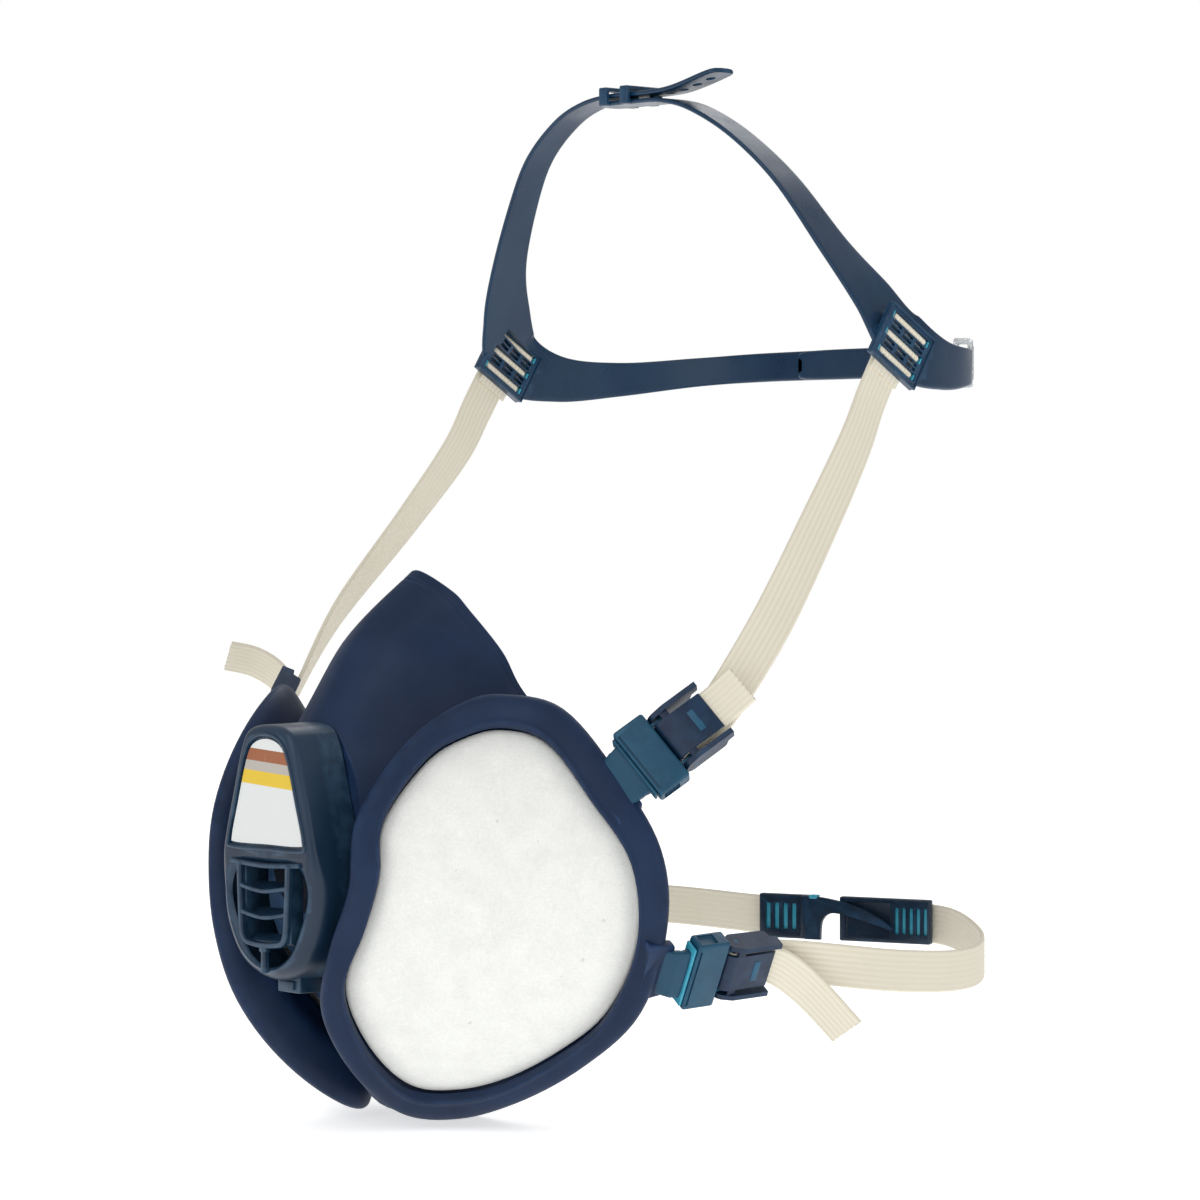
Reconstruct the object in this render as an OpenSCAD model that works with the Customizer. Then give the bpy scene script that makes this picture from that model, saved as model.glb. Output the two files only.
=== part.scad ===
// Half-mask respirator with two built-in filter cartridges, four tilt-lock buckles,
// elastic straps, a two-part head cradle and a neck clasp. Millimetres, +Z up,
// the face seal opens towards +Y and +X is the wearer's left.

/* [Face piece] */
// Height of the face seal above its centre, up to the nose tip
nose_z = 75; // [70:1:80]
// Depth of the seal below its centre, down to the chin
chin_z = 62; // [58:1:66]
// Half width of the face seal
seal_half_w = 54; // [50:1:56]
// Thickness of the rubber shell
shell_t = 2.4; // [2:0.2:3]

/* [Cartridges] */
// Radius of the curved filter face, which bends about a sideways axis
face_r = 75; // [70:1:80]
// Depth of a cartridge behind its rim
case_depth = 14; // [12:1:15]
// Thickness of the white particulate filter
fleece_t = 2.4; // [1.6:0.2:3]
// Thickness of the sorbent bed
bed_t = 6.4; // [5:0.2:6.6]

/* [Valves] */
// Radius of the exhalation valve's flap
exhale_r = 13; // [11:0.5:13]
// Radius of an inhalation valve's flap
inhale_r = 10.6; // [9:0.2:11]
// Depth of the exhalation valve cover
cover_depth = 15; // [14:0.5:17]

/* [Straps and buckles] */
// Width of the elastic strap
strap_w = 10.5; // [10:0.5:12]
// Thickness of the elastic strap
strap_t = 1.2; // [0.8:0.1:1.2]
// Overall width of a buckle
buckle_w = 16; // [16:0.5:18]
// Length of a buckle's lever
buckle_l = 13; // [12:0.5:14]

/* [Head cradle] */
// Thickness of the cradle's plastic band
cradle_t = 1.2; // [1:0.1:1.4]
// Width of the cradle's arms
arm_w = 9; // [8:0.5:10]

/* [Hidden] */
$fn = 48;

// Working gap between neighbouring pieces
gap = 0.3;
// Steps of a curve between two of its control points
steps = 3;

// ---- Curves and lofts ----------------------------------------------------

function near(p, i, closed) = closed ? p[(i + len(p)) % len(p)] : p[min(max(i, 0), len(p) - 1)];

// Catmull-Rom point after control point i
function curve_point(p, i, t, closed) =
    let (a = near(p, i - 1, closed), b = near(p, i, closed))
    let (c = near(p, i + 1, closed), d = near(p, i + 2, closed))
    b + 0.5 * t * (c - a + t * (2 * a - 5 * b + 4 * c - d + t * (3 * (b - c) + d - a)));

function closed_curve(p, n = steps) =
    [for (i = [0:len(p) - 1]) for (k = [0:n - 1]) curve_point(p, i, k / n, true)];

function open_curve(p, n = steps) =
    concat([for (i = [0:len(p) - 2]) for (k = [0:n - 1]) curve_point(p, i, k / n, false)], [p[len(p) - 1]]);

// A half outline from top centre to bottom centre, completed by its mirror image
function mirrored(p) =
    concat(p, [for (i = [len(p) - 2:-1:1]) [for (k = [0:len(p[i]) - 1]) k == 0 ? -p[i][0] : p[i][k]]]);

function unit(v) = v / norm(v);

// Skin over a list of rings with equal point counts; capped at both ends unless it loops
module loft(rings, loop = false) {
    n = len(rings[0]);
    m = len(rings);
    sides = [
        for (j = [0:m - (loop ? 1 : 2)]) for (i = [0:n - 1])
            let (k = (i + 1) % n, r = ((j + 1) % m) * n)
            each [[j * n + i, r + i, r + k], [j * n + i, r + k, j * n + k]]
    ];
    caps = loop ? [] : [[for (i = [0:n - 1]) i], [for (i = [n - 1:-1:0]) (m - 1) * n + i]];
    polyhedron([for (r = rings) each r], concat(sides, caps), convexity = 8);
}

// ---- Local frames --------------------------------------------------------

// Puts X along d and Z along n (made square to d) at the point c
module at_frame(c, d, n) {
    x = unit(d);
    y = unit(cross(n, x));
    z = cross(x, y);
    multmatrix([[x[0], y[0], z[0], c[0]], [x[1], y[1], z[1], c[1]], [x[2], y[2], z[2], c[2]], [0, 0, 0, 1]])
        children();
}

// Left side as drawn, right side as its mirror image
module side(s) {
    if (s > 0) children();
    else mirror([1, 0, 0]) children();
}

// ---- Face piece ----------------------------------------------------------

seal = mirrored([
    [0, -12, nose_z], [9, -8, nose_z - 5], [15, -7, nose_z - 10], [25, -5, 55], [31, -3, 45], [40, 6, 30],
    [seal_half_w - 4, 14, 12], [seal_half_w, 17, -8], [seal_half_w - 4, 17, -28], [34, 11, -44],
    [20, 4, 5 - chin_z], [0, 4, -chin_z]
]);
cheek = mirrored([
    [0, -30, 60], [9, -27, 58], [15, -24, 54], [24, -18, 47], [32, -14, 38], [42, -8, 28],
    [47, -9, 12], [47, -9, -6], [43, -8, -24], [27, -3, -41],
    [13, -10, -54], [0, -24, -57]
]);
front_y = -44;
front = mirrored([
    [0, front_y, 38], [5, front_y, 37], [9, front_y, 35], [12, front_y, 31], [15, front_y, 26],
    [17, front_y, 19],
    [18, front_y, 9], [17, front_y, -3], [14, front_y, -12], [10, front_y, -18],
    [6, front_y, -23], [0, front_y, -26]
]);

// Outer skin from the seal (w = 0) over the cheeks (w = 1) to the front (w = 2)
// Front outline shrunk about the mask's axis, at a depth
function cap_row(k, y) = [for (p = front) [p[0] * k, y, 5 + (p[2] - 5) * k]];
function skin_row(w) = [for (i = [0:len(seal) - 1])
    curve_point([seal[i], cheek[i], front[i]], floor(w), w - floor(w), false)];
function toward_axis(p, d) = let (v = [p[0], 0, p[2] - 5]) p - v * min(1, d / max(norm(v), 1));
function inner_row(w, d) = [for (p = skin_row(w)) toward_axis(p, d) + [0, 0.9 * d * w / 2 + 0.4 * d, 0]];

facepiece_rows = concat(
    [cap_row(0.05, front_y), cap_row(0.9, front_y)],
    [for (w = [1.95, 1.75, 1.5, 1.25, 1, 0.75, 0.5, 0.25, 0.06]) skin_row(w)],
    [skin_row(0) + [for (p = seal) [0, 0.6, 0]]],
    [for (d = [4, 9]) [for (p = seal) toward_axis(p, d) + [0, 0.6 - d * 0.12, 0]]],
    [[for (p = seal) toward_axis(p, 9) + [0, -2.6, 0]]],
    [for (w = [0.15, 0.4, 0.7, 1, 1.3, 1.6, 1.85]) inner_row(w, shell_t)],
    [cap_row(0.82, front_y + shell_t), cap_row(0.05, front_y + shell_t)]
);

// Exhalation port, on the centre line
port_z = 4;
port_r = exhale_r + 1;
// Inhalation port, square to the filter face at 45 degrees
inlet_along = 14;
inlet_floor = 36.6;
inlet_top = 42.6;
inlet_r = inhale_r + 1.4;

// Frame of the left filter: X along the panel, -Y out of it
module filter_frame(s) {
    side(s) rotate([0, 0, 45]) children();
}

// Frame of an inhalation port: Z out of the mask
module inlet_frame(s) {
    filter_frame(s) translate([inlet_along, 0, 0]) rotate([90, 0, 0]) children();
}

module facepiece() color([0.16, 0.21, 0.37]) {
    difference() {
        union() {
            loft([for (r = facepiece_rows) closed_curve(r)]);
            for (s = [1, -1]) inlet_frame(s) translate([0, 0, inlet_floor])
                cylinder(r = inlet_r + 3, h = inlet_top - inlet_floor);
        }
        translate([0, front_y - 5, port_z]) rotate([-90, 0, 0]) cylinder(r = port_r, h = 20);
        for (s = [1, -1]) inlet_frame(s) {
            cylinder(r = inlet_r, h = 60);
            translate([0, 0, 10]) cylinder(r = inlet_r + 3.2, h = inlet_floor - 10);
        }
    }
}

// ---- Exhalation valve ----------------------------------------------------

cover_outline = closed_curve(mirrored([
    [0, 38], [7, 37], [10.5, 33], [14, 22], [18, 8], [19.5, -3], [17.5, -13], [11, -21.5], [0, -25]
]), 4);
vent_outline = closed_curve(mirrored([[0, 4], [11, 3.5], [15, -2], [13.5, -9], [8, -18], [0, -21.5]]), 4);
label_outline = closed_curve(mirrored([
    [0, 35], [5.5, 33.5], [8.5, 29], [12, 18], [14.5, 9.5], [13, 8], [0, 8]
]), 4);

seat_y = front_y - gap / 2;
seat_t = 1.4;
flap_y = seat_y - seat_t - gap;
cover_back = front_y - gap / 2;
cover_face = cover_back - cover_depth;
cover_wall = 1.4;

// Extrudes an XZ outline from y0 towards -Y by h
module forward(y0, h) {
    translate([0, y0, 0]) rotate([90, 0, 0]) linear_extrude(h) children();
}

module shrunk(outline, k) {
    polygon([for (p = outline) [p[0] * k, 4 + (p[1] - 4) * k]]);
}

module valve_seat() color([0.2, 0.4, 0.62]) {
    difference() {
        union() {
            forward(seat_y, seat_t) shrunk(cover_outline, 0.85);
            translate([0, front_y + shell_t + 1, port_z]) rotate([90, 0, 0])
                cylinder(r = port_r - 0.1, h = shell_t + 1 + gap);
        }
        translate([0, -30, port_z]) rotate([90, 0, 0]) cylinder(r = exhale_r - 1.6, h = 30);
    }
    for (a = [0, 90]) translate([0, seat_y + 2.4, port_z]) rotate([90, a, 0])
        translate([-exhale_r + 1.4, -0.7, 0]) cube([2 * exhale_r - 2.8, 1.4, 3]);
}

flap_t = 1;
flap_hinge_z = port_z + exhale_r + 0.6;

module exhalation_flap() color([0.75, 0.62, 0.2]) {
    translate([0, flap_y, port_z]) rotate([90, 0, 0]) cylinder(r = exhale_r, h = flap_t);
    translate([-4, flap_y - flap_t, port_z + exhale_r - 2]) cube([8, flap_t, 3.2]);
}

bar = 1.6;
cage_x = 9.3;
cage_z = [-1.4, -8, -14.6];

module valve_cover() color([0.1, 0.2, 0.31]) {
    difference() {
        forward(cover_back, cover_depth) polygon(cover_outline);
        forward(cover_back + 1, cover_depth - cover_wall + 1) shrunk(cover_outline, 0.9);
        forward(cover_face + cover_wall + 1, 5) polygon(vent_outline);
        forward(cover_face + 0.7, 2) polygon(label_outline);
    }
    // Cage bars across the vent
    for (x = [-cage_x, cage_x]) translate([x - bar / 2, cover_face - 1.2, -14.6]) cube([bar, 2, 18.8]);
    for (z = cage_z) translate([-cage_x, cover_face - 1.2, z - bar / 2]) cube([2 * cage_x, 2, bar]);
    translate([-14, cover_face - 1.2, 2.6]) cube([28, 2.2, bar]);
    translate([-bar / 2, cover_face - 1.2, -22.5]) cube([bar, 2, 8]);
    // Louvres behind the cage
    intersection() {
        forward(cover_back, cover_depth) shrunk(cover_outline, 0.97);
        for (z = [-3, -9, -15]) translate([-25, cover_face + 1.6, z]) rotate([20, 0, 0]) cube([50, 4.2, 1]);
    }
    // Release tab below
    translate([-4.5, cover_face + 7, -28]) cube([9, 7, 4.2]);
}

module cover_label() color([0.93, 0.93, 0.92]) {
    forward(cover_face + 0.6, 0.4) polygon([for (p = label_outline) [p[0] * 0.95, 21 + (p[1] - 21) * 0.95]]);
}

// ---- Cartridges ----------------------------------------------------------

// Filter face: u runs along the panel, a along its curve, h out of it
face_axis_n = -16;
face_axis_z = 3;
face_u0 = 12;
face_a0 = 15;
function on_face(u, a, h) =
    let (t = (a - face_a0) / face_r * 180 / PI)
    [u + face_u0, -face_axis_n - (face_r + h) * cos(t), face_axis_z + (face_r + h) * sin(t)];

rim_outer = [
    [5, 61], [19, 57], [33, 39], [43, 21], [44.5, 2], [38, -21], [24, -38], [7, -53], [-8, -62], [-21, -60.5],
    [-32, -44], [-39.5, -22], [-37, -5], [-32, 11], [-30, 29], [-18, 48.5], [-5, 59]
];
rim_inner = [
    [4, 52], [15, 48], [26, 33], [36, 17], [37, -3], [29, -23], [17, -36], [3, -47], [-9, -51.5], [-20, -49.5],
    [-29, -34], [-33.5, -15], [-28, 1], [-24.5, 14], [-23.5, 28], [-14, 43], [-6, 49]
];
face_mid = [3, 0];

// Ring between the rim's inner (k = 0) and outer (k = 1) outlines, scaled by f about the middle
function face_ring(k, f, h) = [
    for (p = closed_curve([for (i = [0:len(rim_outer) - 1]) rim_inner[i] * (1 - k) + rim_outer[i] * k]))
        let (q = face_mid + (p - face_mid) * f)
        on_face(q[0], q[1], h)
];

case_inner_k = 0.25;
function bed_f(h) = 1 - 0.18 * (-h) / case_depth;

// Rubber lug that carries an anchor
module lug(s, clip) {
    clip_frame(s, clip) translate([-collar_l / 2 - neck_l - lug_l - 0.1, -8, -2.2]) cube([lug_l, 16, 4.4]);
}

module cartridge_case(s) color([0.16, 0.21, 0.37]) {
    for (clip = [upper_clip, lower_clip]) lug(s, clip);
    filter_frame(s) loft([
        face_ring(case_inner_k, bed_f(-case_depth), -case_depth), face_ring(case_inner_k, 1, -2.2),
        face_ring(0, 1, -2), face_ring(0, 1, -1), face_ring(0.15, 1, 0), face_ring(0.5, 1, 0.4),
        face_ring(0.85, 1, -0.1), face_ring(1, 1, -1.2), face_ring(1, 1, -3.5),
        face_ring(1, 0.975, -case_depth * 0.55), face_ring(1, bed_f(-case_depth), -case_depth)
    ], loop = true);
}

// Curved slab with the case's inner outline, between two heights
module bed_slab(h_top, h_bottom, crown = 0) {
    k = case_inner_k - 0.04;
    loft(concat(
        [for (f = [0.03, 0.35, 0.7, 1]) face_ring(k, f * bed_f(h_top), h_top + crown * (1 - f * f))],
        [for (f = [1, 0.7, 0.35, 0.03]) face_ring(k, f * bed_f(h_bottom), h_bottom)]
    ));
}

fleece_top = -2.35;
bed_top = fleece_top - fleece_t - 0.3;
grid_top = bed_top - bed_t - 0.3;
grid_t = 1.5;

module particulate_filter(s) color([0.94, 0.94, 0.93]) filter_frame(s)
    bed_slab(fleece_top, fleece_top - fleece_t, 0.9);

module sorbent_bed(s) color([0.2, 0.2, 0.2]) filter_frame(s) bed_slab(bed_top, bed_top - bed_t);

grid_hole_r = 2.6;
grid_pitch = 9;

module inner_grid(s) color([0.3, 0.42, 0.55]) filter_frame(s) {
    difference() {
        bed_slab(grid_top, grid_top - grid_t);
        for (i = [-2:2]) for (j = [-3:3]) if (abs(i) + abs(j) < 4)
            translate([face_u0 + 2 + i * grid_pitch, 0, 2 + j * grid_pitch]) rotate([90, 0, 0])
                cylinder(r = grid_hole_r, h = 80);
    }
}

// ---- Inhalation valves ---------------------------------------------------

inhale_flange_t = 1.2;
inhale_flap_t = 0.8;

module inhalation_seat(s) color([0.8, 0.8, 0.78]) inlet_frame(s) {
    difference() {
        union() {
            translate([0, 0, inlet_floor - inhale_flange_t - 0.1]) cylinder(r = inlet_r + 1.6, h = inhale_flange_t);
            translate([0, 0, inlet_floor - 0.2]) cylinder(r = inlet_r - 0.1, h = inlet_top - inlet_floor);
        }
        translate([0, 0, inlet_floor - 3]) cylinder(r = inhale_r - 1.2, h = 12);
    }
    for (a = [0, 90]) rotate([0, 0, a]) translate([-inhale_r + 1, -0.7, inlet_floor - 1])
        cube([2 * inhale_r - 2, 1.4, 2.4]);
}

inhale_flap_top = inlet_floor - inhale_flange_t - 0.1 - gap;

module inhalation_flap(s) color([0.85, 0.75, 0.3]) inlet_frame(s) {
    translate([0, 0, inhale_flap_top - inhale_flap_t]) cylinder(r = inhale_r, h = inhale_flap_t);
    translate([-3, inhale_r - 2, inhale_flap_top - inhale_flap_t]) cube([6, 3, inhale_flap_t]);
}

// ---- Strap anchors and buckles -------------------------------------------

// Each clip: middle of its collar, direction of the strap, outward direction
upper_clip = [[74.9, -1.1, 30.5], [0.398, 0.716, 0.573], [0.658, -0.658, 0.365]];
lower_clip = [[79, 11.5, -21], [0.2055, 0.9753, 0.0753], [0.824, -0.131, -0.551]];

module clip_frame(s, clip) {
    side(s) at_frame(clip[0], clip[1], clip[2]) children();
}

collar_l = 8;
collar_w = 19.5;
collar_t = 5.4;
pin_x = 8;
pin_r = 0.8;
arm_y = strap_w / 2 + 0.2;
arm_t = 1;
neck_l = 3.8;
lug_l = 6.2;

// Fixed half of a clip: neck plate, collar, fork and the pin that the strap turns round
module anchor(s, clip) color([0.14, 0.37, 0.49]) clip_frame(s, clip) {
    difference() {
        translate([-collar_l / 2, -collar_w / 2, -collar_t / 2]) cube([collar_l, collar_w, collar_t]);
        translate([collar_l / 2 - 3.5, -arm_y + 1, -1.4]) cube([5, 2 * arm_y - 2, 2.8]);
    }
    translate([-collar_l / 2 - neck_l, -7, -1.3]) cube([neck_l + 0.5, 14, 2.6]);
    for (y = [-arm_y - arm_t, arm_y]) translate([collar_l / 2 - 0.5, y, -1.3])
        cube([pin_x - collar_l / 2 + 1.8, arm_t, 2.6]);
    translate([pin_x, buckle_w / 2, 0]) rotate([90, 0, 0]) cylinder(r = pin_r, h = buckle_w);
}

rail_y = arm_y + arm_t + 0.2;
rail_t = buckle_w / 2 - rail_y;
lid_z = 2.5;
lid_t = 1.2;
hub_r = lid_z + lid_t;

// Moving half of a clip: a lever on the pin, whose lid presses the strap
module buckle(s, clip) color([0.09, 0.18, 0.3]) clip_frame(s, clip) {
    difference() {
        union() {
            for (y = [-buckle_w / 2, rail_y]) {
                translate([pin_x, y, -2.4]) cube([buckle_l - 1.6, rail_t, lid_z + lid_t + 2.4]);
                translate([pin_x, y + rail_t, 0]) rotate([90, 0, 0]) cylinder(r = hub_r, h = rail_t);
            }
            translate([pin_x, -buckle_w / 2, lid_z]) cube([buckle_l - 2.1, buckle_w, lid_t]);
            // Lid curled down in front of the pin, clear of the strap and of the fork
            translate([pin_x, arm_y - gap, 0]) rotate([90, 0, 0]) intersection() {
                difference() {
                    cylinder(r = hub_r, h = 2 * (arm_y - gap));
                    translate([0, 0, -1]) cylinder(r = lid_z, h = 2 * arm_y + 2);
                }
                translate([-hub_r - 1, 0, -1]) cube([hub_r + 1.1, hub_r + 1, 2 * arm_y + 2]);
            }
        }
        translate([pin_x, 30, 0]) rotate([90, 0, 0]) cylinder(r = pin_r + 0.05, h = 60);
        for (y = [-rail_y + 0.2, rail_y - 1.4]) translate([pin_x + 1.4, y, lid_z - 1])
            cube([buckle_l - 4.8, 1.2, lid_t + 2]);
    }
}

// ---- Straps --------------------------------------------------------------

// Flat ribbon through points, each given as [point, width direction]
module ribbon(path, w, t) {
    pts = open_curve([for (p = path) p[0]]);
    dirs = open_curve([for (p = path) p[1]]);
    last = len(pts) - 1;
    loft([for (i = [0:last])
        let (
            run = unit(pts[min(i + 1, last)] - pts[max(i - 1, 0)]),
            across = unit(dirs[i] - run * (dirs[i] * run)),
            up = cross(run, across)
        )
        [for (c = [[-1, -1], [1, -1], [1, 1], [-1, 1]]) pts[i] + across * (c[0] * w / 2) + up * (c[1] * t / 2)]
    ]);
}

// Stations inside a clip, from the free tail round the pin to the main run, in the clip's frame
wrap_r = pin_r + 0.1 + strap_t / 2;
wrap = concat(
    [[pin_x + 12, wrap_r + 0.3], [pin_x + 5, wrap_r]],
    [for (a = [90:45:270]) [pin_x + wrap_r * cos(a), wrap_r * sin(a)]],
    [[pin_x + 5, -wrap_r], [pin_x + 12, -wrap_r]]
);
function clip_point(clip, x, z, across = 0) =
    let (d = unit(clip[1]), y = unit(cross(clip[2], d)), n = cross(d, y))
    clip[0] + d * x + n * z + y * across;
function clip_across(clip) = unit(cross(clip[2], unit(clip[1])));
function clip_stations(clip) = [for (p = wrap) [clip_point(clip, p[0], p[1]), clip_across(clip)]];

module strap(s, clip, tail, run) color([0.9, 0.86, 0.76]) {
    side(s) ribbon(concat(
        [for (p = tail) [clip_point(clip, pin_x + p[0], p[1], p[2]), clip_across(clip)]],
        clip_stations(clip),
        run
    ), strap_w, strap_t);
}

// Loose tails: distance past the pin, distance out, distance across
lower_tail = [[28, 16.5, -11.5], [20, 7, -4.5]];
upper_tail_left = [[20, 4.6, 0]];
upper_tail_right = [[15.6, 19.3, 0], [17.2, 12.5, 0], [15.8, 6, 0]];
upper_run = [
    [[84, 30, 62], [-0.5, -0.4, 0.6]], [[80, 51, 87], [-0.3, -0.7, 0.5]], [[77, 66, 106], [-0.1, -0.8, 0.5]],
    [[74, 75, 118], [0, -0.85, 0.53]], [[73.2, 82, 128.5], [0, -0.85, 0.53]]
];
lower_run_left = [
    [[89, 46, -21], [0.2, 0, 1]], [[89, 68, -24], [0, 0, 1]], [[82, 96, -26.5], [0, 0, 1]],
    [[70, 119, -27], [0, 0, 1]], [[54, 136, -25], [0, 0, 1]], [[34.6, 144.4, -21.5], [0, 0, 1]],
    [[17, 138.6, -20.4], [0, 0, 1]]
];
lower_run_right = [
    [[89, 46, -19], [0.2, 0, 1]], [[86, 76, -18], [0, 0, 1]], [[68, 103, -18], [0, 0, 1]],
    [[42, 117, -19], [0, 0, 1]], [[18, 125.6, -20.4], [0, 0, 1]], [[6, 130.6, -20.4], [0, 0, 1]]
];

// ---- Head cradle ---------------------------------------------------------

// Stations shared by both halves, as drawn on the left: middle, outward direction and width
cradle_shared = [
    [[70.5, 79, 144], [0.95, 0.05, 0.3], 15.5], [[75.2, 86, 132], [1, 0.1, 0.1], 18.6],
    [[74, 101, 127], [0.95, 0.3, 0], 13], [[67, 118, 127], [0.75, 0.65, 0], 9.5],
    [[50, 133, 129], [0.45, 0.9, 0], 8]
];
crown_y = 66;
crown_z = 196.7;
back_y = 138.2;
back_z = 130;
// The right half lies over the left one at the crown and behind it at the back
lap = 2;
crown_left = [
    [[-14, crown_y, crown_z], [0, 0, 1], arm_w], [[0, crown_y, crown_z], [0, 0, 1], arm_w],
    [[10, crown_y, crown_z - 0.4], [0.1, 0, 1], arm_w], [[21, crown_y, 193.5], [0.3, 0, 0.95], arm_w],
    [[35, 67, 186], [0.5, 0, 0.87], arm_w], [[48.5, 70, 174], [0.75, 0, 0.66], 9.5],
    [[61.5, 74, 157], [0.87, 0, 0.5], 11.5]
];
crown_right = [
    [[-30, crown_y, crown_z + lap + 4], [0.2, 0, 1], arm_w],
    [[-14, crown_y, crown_z + lap + 0.6], [0.1, 0, 1], arm_w],
    [[-3, crown_y, crown_z + lap], [0, 0, 1], arm_w], [[9, crown_y, crown_z + lap], [0, 0, 1], arm_w],
    [[20, crown_y, 197.4], [0.2, 0, 1], arm_w], [[31, 66.5, 193.5], [0.4, 0, 0.9], arm_w],
    [[43, 67.5, 185], [0.6, 0, 0.8], arm_w], [[52.5, 70, 174], [0.75, 0, 0.66], 9.5],
    [[63.5, 74, 157], [0.87, 0, 0.5], 11.5]
];
back_left = [[[28, back_y, back_z], [0, 1, 0], 8], [[-14, back_y, back_z], [0, 1, 0], 8]];
back_right = [[[28, back_y + lap, back_z], [0, 1, 0], 8], [[-20, back_y + lap, back_z], [0, 1, 0], 8]];

module band(path, t) {
    pts = open_curve([for (p = path) p[0]]);
    normals = open_curve([for (p = path) p[1]]);
    widths = open_curve([for (p = path) [p[2]]]);
    last = len(pts) - 1;
    loft([for (i = [0:last])
        let (
            run = unit(pts[min(i + 1, last)] - pts[max(i - 1, 0)]),
            up = unit(normals[i] - run * (normals[i] * run)),
            across = cross(up, run),
            w = widths[i][0]
        )
        [for (c = [[-1, -1], [1, -1], [1, 1], [-1, 1]]) pts[i] + across * (c[0] * w / 2) + up * (c[1] * t / 2)]
    ]);
}

// Ladder at the corner of a half: X across the strap, Y along it
ladder_w = 18;
ladder_h = 15;
ladder_pitch = 5;

module ladder_frame() {
    at_frame([76, 84, 131.3], [0, 0.846, -0.533], [1, 0, 0]) children();
}

module ladder_holes() {
    for (j = [-1:1]) translate([-7.5, j * ladder_pitch - 1]) square([15, 2]);
    for (j = [-0.5, 0.5]) for (i = [-1.5:1.5]) for (k = [-0.55, 0.55])
        translate([i * 3.6 - 1.2, j * ladder_pitch + k - 0.35]) square([2.4, 0.7]);
}

module cradle_half(crown, back) {
    difference() {
        union() {
            band(concat(crown, cradle_shared, back), cradle_t);
            ladder_frame() translate([-ladder_w / 2, -ladder_h / 2, -0.7]) cube([ladder_w, ladder_h, 1.4]);
        }
        ladder_frame() translate([0, 0, -4]) linear_extrude(8) ladder_holes();
    }
}

keeper_x = [-10, -2];

module cradle_left() color([0.08, 0.2, 0.33]) {
    cradle_half(crown_left, back_left);
    // Keepers that hold the right half's crown arm
    for (x = keeper_x) translate([x - 1.5, crown_y, crown_z]) difference() {
        translate([0, -arm_w / 2 - 1.5, -cradle_t / 2]) cube([3, arm_w + 3, lap + 2.8]);
        translate([-1, -arm_w / 2 - 0.4, cradle_t / 2]) cube([5, arm_w + 0.8, lap + 0.6]);
    }
    // Peg for the crown holes
    translate([5, crown_y, crown_z]) cylinder(r = 1.2, h = 0.8);
}

module cradle_right() color([0.08, 0.2, 0.33]) {
    mirror([1, 0, 0]) difference() {
        cradle_half(crown_right, back_right);
        // Size holes in the free crown end
        for (x = [-10:-5:-25]) translate([x, crown_y, crown_z]) cylinder(r = 1.3, h = 12);
    }
}

// Clear keeper on the left half's back arm
module back_keeper() color([0.85, 0.88, 0.9]) {
    at_frame([52.5, 131.3, 128.8], [-0.75, 0.66, 0.08], [0.66, 0.75, 0]) difference() {
        translate([-4, -6.4, -2.3]) cube([8, 12.8, 4.6]);
        translate([-5, -5, -1.5]) cube([10, 10, 3]);
    }
}

// ---- Neck clasp ----------------------------------------------------------

clasp_h = 12;
clasp_t = 2.4;
tongue_h = 6;

module clasp_frame() {
    at_frame([8, 132.6, -20.4], [0.94, 0.342, 0], [0.342, -0.94, 0]) children();
}

module clasp_windows(x0) {
    for (i = [0:4]) translate([x0 + i * 2.6, -3.6, -5]) cube([1.4, 7.2, 10]);
}

// Hook half: ladder plate and a tongue that slides into the other half
module clasp_hook() color([0.05, 0.3, 0.4]) clasp_frame() {
    difference() {
        translate([6, -clasp_h / 2, -clasp_t / 2]) cube([19, clasp_h, clasp_t]);
        clasp_windows(9.5);
    }
    translate([-11, -tongue_h / 2, -0.6]) cube([17.2, tongue_h, 1.2]);
}

// Loop half: ladder plate and two cheeks joined by a bridge over the tongue
module clasp_loop() color([0.05, 0.3, 0.4]) clasp_frame() {
    difference() {
        translate([-25.5, -clasp_h / 2, -clasp_t / 2]) cube([30.5, clasp_h, clasp_t]);
        clasp_windows(-23.5);
        translate([-11.4, -tongue_h / 2 - 0.3, -0.9]) cube([20, tongue_h + 0.6, 1.8]);
        translate([-8, -tongue_h / 2 - 0.3, -5]) cube([6, tongue_h + 0.6, 10]);
    }
}

// ---- Draw ----------------------------------------------------------------

facepiece();
valve_seat();
exhalation_flap();
valve_cover();
cover_label();
cartridge_case(1);  // cartridge_case_left
cartridge_case(-1);  // cartridge_case_right
particulate_filter(1);  // particulate_filter_left
particulate_filter(-1);  // particulate_filter_right
sorbent_bed(1);  // sorbent_bed_left
sorbent_bed(-1);  // sorbent_bed_right
inner_grid(1);  // inner_grid_left
inner_grid(-1);  // inner_grid_right
inhalation_seat(1);  // inhalation_seat_left
inhalation_seat(-1);  // inhalation_seat_right
inhalation_flap(1);  // inhalation_flap_left
inhalation_flap(-1);  // inhalation_flap_right
anchor(1, upper_clip);  // anchor_upper_left
anchor(-1, upper_clip);  // anchor_upper_right
anchor(1, lower_clip);  // anchor_lower_left
anchor(-1, lower_clip);  // anchor_lower_right
buckle(1, upper_clip);  // buckle_upper_left
buckle(-1, upper_clip);  // buckle_upper_right
buckle(1, lower_clip);  // buckle_lower_left
buckle(-1, lower_clip);  // buckle_lower_right
strap(1, upper_clip, upper_tail_left, upper_run);  // strap_upper_left
strap(-1, upper_clip, upper_tail_right, upper_run);  // strap_upper_right
strap(1, lower_clip, lower_tail, lower_run_left);  // strap_lower_left
strap(-1, lower_clip, lower_tail, lower_run_right);  // strap_lower_right
cradle_left();
cradle_right();
back_keeper();
clasp_hook();
clasp_loop();
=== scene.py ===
import math

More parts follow.
